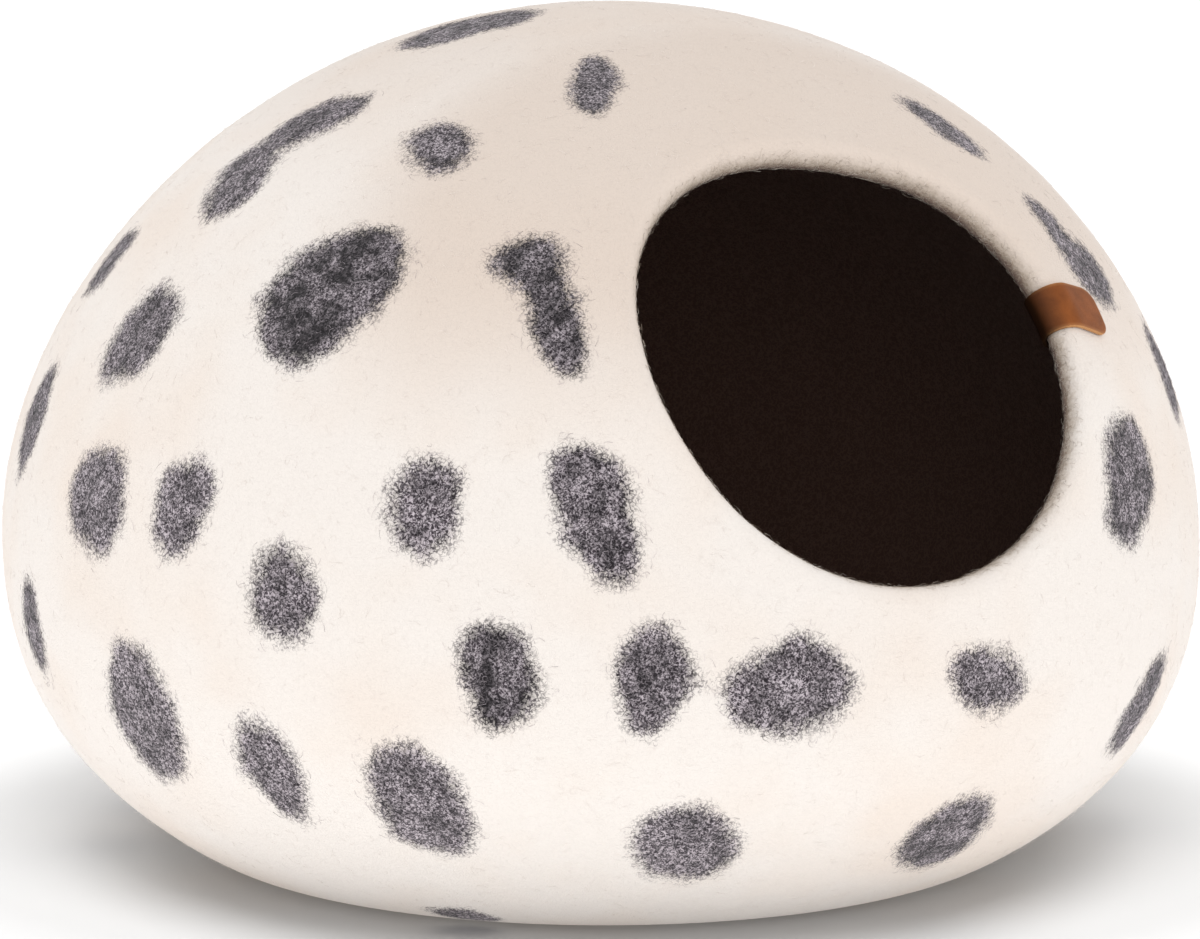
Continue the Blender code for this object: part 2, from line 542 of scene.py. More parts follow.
PHOTO_SPOTS = (
    Spot(SpotTone.MIDDLE, (Blob(466, 26, 72, 13, 14),)),
    Spot(SpotTone.MIDDLE, (Blob(240, 178, 46, 21, 48), Blob(315, 120, 56, 15, 22))),
    Spot(SpotTone.MIDDLE, (Blob(438, 146, 35, 25, 10),)),
    Spot(SpotTone.MIDDLE, (Blob(594, 85, 32, 22, 80),)),
    Spot(SpotTone.DARK, (Blob(333, 290, 88, 52, 40), Blob(284, 308, 44, 25, 76))),
    Spot(SpotTone.DARK, (Blob(530, 261, 38, 26, 12), Blob(553, 309, 70, 27, 110))),
    Spot(SpotTone.MIDDLE, (Blob(140, 335, 58, 26, 52),)),
    Spot(SpotTone.MIDDLE, (Blob(110, 262, 40, 8, 53),)),
    Spot(SpotTone.MIDDLE, (Blob(34, 418, 56, 11, 72),)),
    Spot(SpotTone.LIGHT, (Blob(98, 497, 52, 31, 82),)),
    Spot(SpotTone.LIGHT, (Blob(181, 506, 52, 29, 72),)),
    Spot(SpotTone.LIGHT, (Blob(426, 503, 48, 35, 72),)),
    Spot(SpotTone.MIDDLE, (Blob(596, 512, 74, 38, 112),)),
    Spot(SpotTone.MIDDLE, (Blob(282, 596, 45, 36, 90),)),
    Spot(SpotTone.MIDDLE, (Blob(33, 628, 46, 10, 100),)),
    Spot(SpotTone.LIGHT, (Blob(143, 715, 74, 31, 108),)),
    Spot(SpotTone.LIGHT, (Blob(272, 770, 56, 24, 118),)),
    Spot(SpotTone.LIGHT, (Blob(420, 805, 64, 40, 125),)),
    Spot(SpotTone.DARK, (Blob(499, 676, 55, 38, 96),)),
    Spot(SpotTone.MIDDLE, (Blob(652, 680, 53, 38, 84),)),
    Spot(SpotTone.LIGHT, (Blob(794, 687, 62, 47, 10),)),
    Spot(SpotTone.LIGHT, (Blob(989, 680, 37, 31, 0),)),
    Spot(SpotTone.LIGHT, (Blob(684, 848, 53, 38, 176),)),
    Spot(SpotTone.MIDDLE, (Blob(946, 837, 50, 26, 35),)),
    Spot(SpotTone.MIDDLE, (Blob(1141, 705, 56, 13, 60),)),
    Spot(SpotTone.MIDDLE, (Blob(1130, 482, 64, 26, 88),)),
    Spot(SpotTone.MIDDLE, (Blob(1091, 272, 38, 17, 124), Blob(1056, 231, 42, 11, 127))),
    Spot(SpotTone.MIDDLE, (Blob(941, 125, 50, 10, 146),)),
    Spot(SpotTone.LIGHT, (Blob(1164, 371, 52, 7, 110),)),
    Spot(SpotTone.LIGHT, (Blob(467, 916, 34, 6, 172),)),
)


@dataclass(frozen=True)
class Patch:
    """An oval of grey wool on the skin, given by its middle and its two half axes in metres."""

    middle: np.ndarray
    normal: np.ndarray
    first: np.ndarray
    second: np.ndarray

    def reach(self) -> float:
        """Return the longer half axis."""
        return max(float(np.linalg.norm(self.first)), float(np.linalg.norm(self.second)))

    def depth(self, points: np.ndarray) -> np.ndarray:
        """Measure how far points lie past the oval's border.

        Args:
            points: points on the skin.

        Returns:
            Distances in metres, negative inside.
        """
        offset = points - self.middle
        flat = offset - np.outer(offset @ self.normal, self.normal)
        span = np.linalg.norm(offset, axis=1)
        flat_span = np.maximum(np.linalg.norm(flat, axis=1), 1e-9)
        flat *= (span / flat_span)[:, None]
        axes = np.stack((self.first, self.second), axis=1)
        shares = flat @ np.linalg.pinv(axes).T
        scale = np.maximum(np.linalg.norm(shares, axis=1), 1e-6)
        return span * (1 - 1 / scale)


@dataclass
class SpotPattern:
    """The shell's grey spots: the photograph's on the side that it shows, and others like them elsewhere."""

    skin: Skin
    camera: PhotoCamera
    longest_half: float = 0.034  # no oval's half axes are larger, where the camera sees them edge on
    widest_half: float = 0.024
    hidden_half_length: tuple[float, float] = (0.017, 0.028)
    hidden_slimness: tuple[float, float] = (0.62, 0.92)
    spacing: float = 0.024  # felt left clear between two spots
    rim_clearance: float = 0.030
    base_height: float = 0.022  # no spot has its middle lower than this
    facing_limit: float = -0.15  # a spot with its middle on skin that faces the camera less stays unseen
    tries: int = 5000
    merge: float = 0.004  # how softly the ovals of one spot join
    seed: int = 11
    spots: list[list[Patch]] = field(default_factory=list)
    tones: list[float] = field(default_factory=list)

    def patch_at(self, blob: Blob, tree: BVHTree) -> Patch | None:
        """Lay a blob of the photograph on the skin.

        Args:
            blob: the blob, in pixels.
            tree: the outer skin's faces.

        Returns:
            The patch with its foreshortening undone, or None where the camera's line misses the skin.
        """
        eye = Vector(self.camera.eye(self.skin.waist()))
        hit, normal, _face, distance = tree.ray_cast(eye, Vector(self.camera.sight(blob.x, blob.y)))
        if hit is None:
            return None
        normal = np.array(normal)
        helper = np.cross(normal, (0.0, 0.0, 1.0))
        helper /= np.linalg.norm(helper)
        basis = np.stack((helper, np.cross(normal, helper)), axis=1)
        right, up = self.camera.axes()
        scale = self.camera.focal_px() / distance
        seen = np.stack((right, up)) @ basis * scale
        tilt = math.radians(blob.tilt_deg)
        along = np.array((math.cos(tilt), math.sin(tilt))) * blob.half_length
        aside = np.array((-math.sin(tilt), math.cos(tilt))) * blob.half_width
        flat = np.linalg.solve(seen, np.stack((along, aside), axis=1))
        left, sizes, right_axes = np.linalg.svd(flat)
        sizes = np.minimum(sizes, (self.longest_half, self.widest_half))
        axes = basis @ (left @ np.diag(sizes) @ right_axes)
        return Patch(np.array(hit), normal, axes[:, 0], axes[:, 1])

    def place(
        self, points: np.ndarray, normals: np.ndarray, rim_distance: np.ndarray, tree: BVHTree
    ) -> None:
        """Fill the list of spots.

        Args:
            points: the outer skin's points.
            normals: its unit normals there.
            rim_distance: each point's distance from the rim.
            tree: the outer skin's faces.
        """
        for spot in PHOTO_SPOTS:
            patches = [self.patch_at(blob, tree) for blob in spot.blobs]
            self.spots.append([patch for patch in patches if patch is not None])
            self.tones.append(spot.tone.value)
        sight = self.camera.eye(self.skin.waist()) - points
        facing = np.einsum("ij,ij->i", normals, sight) / np.linalg.norm(sight, axis=1)
        open_skin = facing < self.facing_limit
        open_skin &= (rim_distance > self.rim_clearance) & (points[:, 2] > self.base_height)
        places = np.flatnonzero(open_skin)
        self.scatter(points[places], normals[places])
        log.info("spots: %d shown by the photograph, %d in all", len(PHOTO_SPOTS), len(self.spots))

    def scatter(self, points: np.ndarray, normals: np.ndarray) -> None:
        """Add random spots wherever there is room, on the skin that the photograph doesn't show.

        Args:
            points: the places that a spot may have its middle at.
            normals: the skin's unit normals there.
        """
        taken = [patch for spot in self.spots for patch in spot]
        random = np.random.default_rng(self.seed)
        for _ in range(self.tries):
            place = random.integers(len(points))
            half_length = random.uniform(*self.hidden_half_length)
            half_width = half_length * random.uniform(*self.hidden_slimness)
            tilt = random.uniform(0, math.pi)
            middle, normal = points[place], normals[place]
            gaps = (np.linalg.norm(middle - other.middle) - other.reach() for other in taken)
            if min(gaps) < half_length + self.spacing:
                continue
            level = np.cross(normal, (0.0, 0.0, 1.0))
            level /= np.linalg.norm(level)
            steep = np.cross(normal, level)
            first = (math.cos(tilt) * level + math.sin(tilt) * steep) * half_length
            second = (math.cos(tilt) * steep - math.sin(tilt) * level) * half_width
            patch = Patch(middle, normal, first, second)
            taken.append(patch)
            self.spots.append([patch])
            self.tones.append(random.uniform(SpotTone.DARK.value, SpotTone.LIGHT.value))

    def depths(self, points: np.ndarray) -> tuple[np.ndarray, np.ndarray]:
        """Measure the spots at points of the outer skin.

        Args:
            points: the points.

        Returns:
            The distance past the nearest spot's border, in metres and negative inside, and that spot's
            tone from 0 to 1.
        """
        nearest = np.full(len(points), 1.0)
        tones = np.zeros(len(points))
        for spot, tone in zip(self.spots, self.tones):
            depth = np.full(len(points), 1.0)
            for patch in spot:
                other = patch.depth(points)
                blend = np.clip(0.5 + 0.5 * (other - depth) / self.merge, 0.0, 1.0)
                depth = other * (1 - blend) + depth * blend - self.merge * blend * (1 - blend)
            tones = np.where(depth < nearest, tone, tones)
            nearest = np.minimum(nearest, depth)
        return nearest, tones


# ---------------------------------------------------------------- finishes


@dataclass(frozen=True)
class WoolPattern:
    """The sockets that the layers of the felt's colour share."""

    place: bpy.types.NodeSocket  # the point in metres
    inward: bpy.types.NodeSocket
    clumps: bpy.types.NodeSocket  # noise, about 0.5 on average
    fine: bpy.types.NodeSocket  # finer noise, also about 0.5 on average
    dark_lines: bpy.types.NodeSocket  # 1 on a strand and 0 between strands
    light_lines: bpy.types.NodeSocket
    pale_lines: bpy.types.NodeSocket


@dataclass(frozen=True)
class FeltFinish:
    """Wet-felted wool: dead matt, with a faint haze of fibres, strand by strand in the grey spots."""

    cream: str = "e2dbd5"
    warm_cream: str = "dfd2c7"
    # a warmer tone with painted shade, for the crown and above the mouth
    shaded_crown_cream: str = "d0c1b5"
    fleck: str = "c2bab4"
    charcoal: str = "130f13"
    mid_grey: str = "483f46"
    light_strand: str = "c6bcc2"
    # near black: painted shade for the hollow
    inside: str = "63493f"
    inside_strand: str = "73594d"
    # fuzz and painted shade on the rim's inner round
    rim_fuzz_and_shade: str = "b0a08f"
    strand_mm: float = 1.5  # spacing of the drawn strands, coarser than real fibres of 0.03 mm, to show
    fine_mm: float = 1.3
    clump_mm: float = 9.0
    broad_mm: float = 70.0
    relief_mm: float = 0.35

    def strands(
        self, tree: bpy.types.NodeTree, place: bpy.types.NodeSocket, seed: float
    ) -> bpy.types.NodeSocket:
        """Draw curled strands as the level lines of a warped noise.

        Args:
            tree: the material's tree.
            place: the point in metres.
            seed: picks one of many such drawings.

        Returns:
            A socket that is 1 on a strand and 0 between strands.
        """
        noise = add_node(
            tree,
            "ShaderNodeTexNoise",
            {
                "Vector": place,
                "W": seed,
                "Scale": 1 / (self.strand_mm * MM),
                "Detail": 0.0,
                "Distortion": 0.7,
            },
            noise_dimensions="4D",
        ).outputs[0]
        off = add_node(tree, "ShaderNodeMath", {0: noise, 1: 0.5}, operation="SUBTRACT").outputs[0]
        gap = add_node(tree, "ShaderNodeMath", {0: off}, operation="ABSOLUTE").outputs[0]
        return add_node(
            tree,
            "ShaderNodeMapRange",
            {"Value": gap, "From Min": 0.11, "From Max": 0.045},
            interpolation_type="SMOOTHSTEP",
        ).outputs[0]

    def pattern(self, tree: bpy.types.NodeTree) -> WoolPattern:
        """Add the noises and strands that every layer is drawn with.

        Args:
            tree: the material's tree.

        Returns:
            Their sockets.
        """
        place = add_node(tree, "ShaderNodeTexCoord").outputs["Object"]
        clumps = add_node(
            tree,
            "ShaderNodeTexNoise",
            {"Vector": place, "Scale": 1 / (self.clump_mm * MM), "Detail": 2.0, "Roughness": 0.55},
        )
        fine = add_node(
            tree,
            "ShaderNodeTexNoise",
            {
                "Vector": place,
                "Scale": 1 / (self.fine_mm * MM),
                "Detail": 2.0,
                "Roughness": 0.6,
                "Distortion": 0.8,
            },
        )
        return WoolPattern(
            place=place,
            inward=add_node(tree, "ShaderNodeAttribute", attribute_name=INWARD).outputs["Fac"],
            clumps=clumps.outputs[0],
            fine=fine.outputs[0],
            dark_lines=self.strands(tree, place, seed=3.1),
            light_lines=self.strands(tree, place, seed=7.7),
            pale_lines=self.strands(tree, place, seed=12.4),
        )

    def white_wool(self, tree: bpy.types.NodeTree, wool: WoolPattern) -> bpy.types.NodeSocket:
        """Colour the cream felt: warm clouds, a warmer tone with painted shade on the crown and above the
        mouth, and flecks and strands.

        Args:
            tree: the material's tree.
            wool: the shared sockets.

        Returns:
            The colour.
        """
        broad = add_node(
            tree,
            "ShaderNodeTexNoise",
            {"Vector": wool.place, "Scale": 1 / (self.broad_mm * MM), "Detail": 2.0, "Roughness": 0.5},
        ).outputs[0]
        warmth = add_node(
            tree, "ShaderNodeMapRange", {"Value": broad, "From Min": 0.42, "From Max": 0.66, "To Max": 0.75}
        ).outputs[0]
        cream = add_node(
            tree,
            "ShaderNodeMix",
            {0: warmth, 6: linear(self.cream), 7: linear(self.warm_cream)},
            data_type="RGBA",
        ).outputs[2]
        # Painted shade: towards the crown and above the mouth the cream turns warmer and darker, a warmer
        # tone together with the shade that falls there.
        height = add_node(tree, "ShaderNodeSeparateXYZ", {0: wool.place}).outputs["Z"]
        upper = add_node(
            tree,
            "ShaderNodeMapRange",
            {"Value": height, "From Min": 0.19, "From Max": 0.265},
            interpolation_type="SMOOTHSTEP",
        ).outputs[0]
        by_mouth = add_node(
            tree,
            "ShaderNodeMapRange",
            {"Value": wool.inward, "From Min": -135.0, "From Max": -70.0, "To Max": 0.85},
            interpolation_type="SMOOTHSTEP",
        ).outputs[0]
        painted_shade_over_mouth = add_node(
            tree, "ShaderNodeMath", {0: upper, 1: by_mouth}, operation="MULTIPLY"
        ).outputs[0]
        painted_shade_on_top = add_node(
            tree,
            "ShaderNodeMapRange",
            {"Value": height, "From Min": 0.27, "From Max": 0.35, "To Max": 0.55},
            interpolation_type="SMOOTHSTEP",
        ).outputs[0]
        painted_crown_shade = add_node(tree, "ShaderNodeMath", {0: painted_shade_over_mouth, 1: painted_shade_on_top}, operation="MAXIMUM").outputs[0]
        cream = add_node(
            tree, "ShaderNodeMix", {0: painted_crown_shade, 6: cream, 7: linear(self.shaded_crown_cream)}, data_type="RGBA"
        ).outputs[2]
        flecks = add_node(
            tree,
            "ShaderNodeMapRange",
            {"Value": wool.fine, "From Min": 0.56, "From Max": 0.76, "To Max": 0.16},
        ).outputs[0]
        faint_lines = add_node(
            tree, "ShaderNodeMath", {0: wool.pale_lines, 1: 0.05}, operation="MULTIPLY"
        ).outputs[0]
        for share in (flecks, faint_lines):
            cream = add_node(
                tree, "ShaderNodeMix", {0: share, 6: cream, 7: linear(self.fleck)}, data_type="RGBA"
            ).outputs[2]
        return cream

    def grey_wool(self, tree: bpy.types.NodeTree, wool: WoolPattern) -> bpy.types.NodeSocket:
        """Colour the spots: charcoal clumps among grey, with light strands on top and dark gaps.

        Args:
            tree: the material's tree.
            wool: the shared sockets.

        Returns:
            The colour.
        """
        tone = add_node(tree, "ShaderNodeAttribute", attribute_name=SPOT_TONE).outputs["Fac"]
        mottle = add_node(
            tree,
            "ShaderNodeMapRange",
            {"Value": wool.clumps, "From Min": 0.37, "From Max": 0.63, "To Min": -0.12, "To Max": 0.70},
        ).outputs[0]
        toned = add_node(
            tree, "ShaderNodeMath", {0: tone, 1: 0.6, 2: mottle}, operation="MULTIPLY_ADD"
        ).outputs[0]
        grey = add_node(
            tree,
            "ShaderNodeMix",
            {0: toned, 6: linear(self.charcoal), 7: linear(self.mid_grey)},
            data_type="RGBA",
        ).outputs[2]
        light_share = add_node(
            tree, "ShaderNodeMath", {0: toned, 1: 0.50, 2: 0.12}, operation="MULTIPLY_ADD"
        ).outputs[0]
        for lines in (wool.pale_lines, wool.light_lines):
            lit = add_node(
                tree, "ShaderNodeMath", {0: lines, 1: light_share}, operation="MULTIPLY"
            ).outputs[0]
            grey = add_node(
                tree, "ShaderNodeMix", {0: lit, 6: grey, 7: linear(self.light_strand)}, data_type="RGBA"
            ).outputs[2]
        sunk = add_node(
            tree, "ShaderNodeMath", {0: wool.dark_lines, 1: 0.72}, operation="MULTIPLY"
        ).outputs[0]
        return add_node(
            tree, "ShaderNodeMix", {0: sunk, 6: grey, 7: linear(self.charcoal)}, data_type="RGBA"
        ).outputs[2]

    def spotted(self, tree: bpy.types.NodeTree, wool: WoolPattern) -> bpy.types.NodeSocket:
        """Fray the spots' borders, where clumps and strands of grey reach out over the cream.

        Args:
            tree: the material's tree.
            wool: the shared sockets.

        Returns:
            1 in a spot and 0 on the cream felt.
        """
        depth = add_node(tree, "ShaderNodeAttribute", attribute_name=SPOT_DEPTH).outputs["Fac"]
        for pattern, reach_mm in ((wool.clumps, -7.0), (wool.fine, -7.0), (wool.dark_lines, -2.6)):
            depth = add_node(
                tree, "ShaderNodeMath", {0: pattern, 1: reach_mm, 2: depth}, operation="MULTIPLY_ADD"
            ).outputs[0]
        return add_node(
            tree,
            "ShaderNodeMapRange",
            {"Value": depth, "From Min": -4.4, "From Max": -12.0},
            interpolation_type="SMOOTHSTEP",
        ).outputs[0]

    def past_rim(
        self, tree: bpy.types.NodeTree, wool: WoolPattern, outside: bpy.types.NodeSocket
    ) -> bpy.types.NodeSocket:
        """Turn the outer colour into the inside's painted shade, through a ragged brown band on the rim:
        fuzz, and painted shade where it rounds into the hole.

        Args:
            tree: the material's tree.
            wool: the shared sockets.
            outside: the outer skin's colour.

        Returns:
            The colour of the whole felt.
        """
        # Painted shade: the inside is coloured dark brown, near black, for the shade in the hollow.
        inner = add_node(
            tree,
            "ShaderNodeMix",
            {0: wool.light_lines, 6: linear(self.inside), 7: linear(self.inside_strand)},
            data_type="RGBA",
        ).outputs[2]
        ragged = wool.inward
        for pattern, reach_mm in ((wool.clumps, 5.0), (wool.fine, 6.0)):
            ragged = add_node(
                tree, "ShaderNodeMath", {0: pattern, 1: reach_mm, 2: ragged}, operation="MULTIPLY_ADD"
            ).outputs[0]
        # Painted shade: the brown band lies on the inner half of the rim's round, where it turns into the
        # hole.
        fuzz_and_shade = add_node(
            tree,
            "ShaderNodeMapRange",
            {"Value": ragged, "From Min": 11.5, "From Max": 20.5},
            interpolation_type="SMOOTHSTEP",
        ).outputs[0]
        turned = add_node(
            tree,
            "ShaderNodeMapRange",
            {"Value": ragged, "From Min": 16.5, "From Max": 22.5},
            interpolation_type="SMOOTHSTEP",
        ).outputs[0]
        colour = add_node(
            tree, "ShaderNodeMix", {0: fuzz_and_shade, 6: outside, 7: linear(self.rim_fuzz_and_shade)}, data_type="RGBA"
        ).outputs[2]
        return add_node(
            tree, "ShaderNodeMix", {0: turned, 6: colour, 7: inner}, data_type="RGBA"
        ).outputs[2]

    def material(self) -> bpy.types.Material:
        """Build the felt for the shell's outside, spots, rim and inside.

        Returns:
            The material.
        """
        # Wool felt scatters light from countless fibre ends: no gloss, a soft bloom at glancing angles.
        material, tree, shader = new_material("wet_felted_wool")
        wool = self.pattern(tree)
        cream = self.white_wool(tree, wool)
        grey = self.grey_wool(tree, wool)
        outside = add_node(
            tree, "ShaderNodeMix", {0: self.spotted(tree, wool), 6: cream, 7: grey}, data_type="RGBA"
        ).outputs[2]
        tree.links.new(self.past_rim(tree, wool, outside), shader.inputs["Base Color"])
        relief = add_node(
            tree, "ShaderNodeMath", {0: wool.light_lines, 1: 0.35, 2: wool.fine}, operation="MULTIPLY_ADD"
        ).outputs[0]
        bump = add_node(
            tree, "ShaderNodeBump", {"Strength": 0.55, "Distance": self.relief_mm * MM, "Height": relief}
        ).outputs[0]
        tree.links.new(bump, shader.inputs["Normal"])
        shader.inputs["Roughness"].default_value = 0.96
        shader.inputs["Specular IOR Level"].default_value = 0.15
        shader.inputs["Sheen Weight"].default_value = 0.12
        shader.inputs["Sheen Roughness"].default_value = 0.6
        return material


@dataclass(frozen=True)
class StrandFinish:
    """Loose wool strands: each one is a single colour between two, so the mass looks flecked."""

    name: str
    dark: str
    middle: str
    light: str

    def material(self) -> bpy.types.Material:
        """Build the strands' wool.

        Returns:
            The material.
        """
        # Carded wool: each fibre is matt and slightly see-through, so strands read as soft lines.
        material, tree, shader = new_material(self.name)
        shade = add_node(tree, "ShaderNodeAttribute", attribute_name=SHADE).outputs["Fac"]
        ramp = add_node(tree, "ShaderNodeValToRGB", {0: shade})
        ramp.color_ramp.elements[0].color = linear(self.dark)
        ramp.color_ramp.elements[1].color = linear(self.light)
        ramp.color_ramp.elements.new(0.5).color = linear(self.middle)
        tree.links.new(ramp.outputs[0], shader.inputs["Base Color"])
        shader.inputs["Roughness"].default_value = 0.9
        shader.inputs["Specular IOR Level"].default_value = 0.2
        return material


@dataclass(frozen=True)
class LeatherFinish:
    """Vegetable-tanned cow leather, waxed: a fine pebble grain, darker where it was rubbed, and near black
    over the fold from burnish and painted shade.
    """

    tan: str = "854a20"
    dark_tan: str = "623417"
    # near black: burnish, and painted shade towards the hole
    burnish_and_shade_colour: str = "180b04"
    cut_edge: str = "c99461"
    grain_mm: float = 0.55  # coarser than real pores of 0.1 mm, to show
    pore_mm: float = 0.4
    cloud_mm: float = 7.0
    relief_mm: float = 0.06

    def material(self) -> bpy.types.Material:
        """Build the tab's leather.

        Returns:
            The material.
        """
        # Waxed leather: a satin gloss broken up by the grain, and pale raw fibre on the cut edges.
        material, tree, shader = new_material("vegetable_tanned_leather")
        place = add_node(tree, "ShaderNodeTexCoord").outputs["Object"]
        edge = add_node(tree, "ShaderNodeAttribute", attribute_name=CUT_EDGE).outputs["Fac"]
        bend = add_node(tree, "ShaderNodeAttribute", attribute_name=BURNISH_AND_SHADE).outputs["Fac"]
        grain = add_node(
            tree,
            "ShaderNodeTexVoronoi",
            {"Vector": place, "Scale": 1 / (self.grain_mm * MM), "Randomness": 1.0},
            feature="DISTANCE_TO_EDGE",
        ).outputs["Distance"]
        cloud = add_node(
            tree,
            "ShaderNodeTexNoise",
            {"Vector": place, "Scale": 1 / (self.cloud_mm * MM), "Detail": 4.0, "Roughness": 0.6},
        ).outputs[0]
        pores = add_node(
            tree,
            "ShaderNodeTexNoise",
            {"Vector": place, "Scale": 1 / (self.pore_mm * MM), "Detail": 2.0, "Roughness": 0.6},
        ).outputs[0]
        worn = add_node(
            tree, "ShaderNodeMapRange", {"Value": cloud, "From Min": 0.35, "From Max": 0.68, "To Max": 0.6}
        ).outputs[0]
        colour = add_node(
            tree,
            "ShaderNodeMix",
            {0: worn, 6: linear(self.tan), 7: linear(self.dark_tan)},
            data_type="RGBA",
        ).outputs[2]
        speck = add_node(
            tree,
            "ShaderNodeMapRange",
            {"Value": pores, "From Min": 0.52, "From Max": 0.74, "To Max": 0.35},
        ).outputs[0]
        colour = add_node(
            tree, "ShaderNodeMix", {0: speck, 6: colour, 7: linear(self.dark_tan)}, data_type="RGBA"
        ).outputs[2]
        broken = add_node(
            tree,
            "ShaderNodeMapRange",
            {"Value": pores, "From Min": 0.35, "From Max": 0.62, "To Min": 0.45},
        ).outputs[0]
        rubbed = add_node(tree, "ShaderNodeMath", {0: edge, 1: broken}, operation="MULTIPLY").outputs[0]
        colour = add_node(
            tree, "ShaderNodeMix", {0: rubbed, 6: colour, 7: linear(self.cut_edge)}, data_type="RGBA"
        ).outputs[2]
        # Painted shade: over the crest and down the side towards the hole the leather turns near black, for
        # burnish and for the shade there.
        colour = add_node(
            tree, "ShaderNodeMix", {0: bend, 6: colour, 7: linear(self.burnish_and_shade_colour)}, data_type="RGBA"
        ).outputs[2]
        tree.links.new(colour, shader.inputs["Base Color"])
        rough = add_node(
            tree,
            "ShaderNodeMapRange",
            {"Value": pores, "From Min": 0.3, "From Max": 0.7, "To Min": 0.42, "To Max": 0.62},
        ).outputs[0]
        tree.links.new(rough, shader.inputs["Roughness"])
        bump = add_node(
            tree, "ShaderNodeBump", {"Strength": 0.5, "Distance": self.relief_mm * MM, "Height": grain}
        ).outputs[0]
        tree.links.new(bump, shader.inputs["Normal"])
        shader.inputs["Specular IOR Level"].default_value = 0.14
        return material


@dataclass(frozen=True)
class FloorFinish:
    """A plain pale studio floor, which its own lights brighten to white."""

    pale: str = "b4b4b4"

    def material(self) -> bpy.types.Material:
        """Build the floor's paint.

        Returns:
            The material.
        """
        # Matt paint with no gloss at all, so the floor takes the soft shadow and mirrors nothing.
        material, _tree, shader = new_material("matt_painted_floor")
        shader.inputs["Base Color"].default_value = linear(self.pale)
        shader.inputs["Roughness"].default_value = 1.0
        shader.inputs["Specular IOR Level"].default_value = 0.0
        return material


# ---------------------------------------------------------------- the felt shell


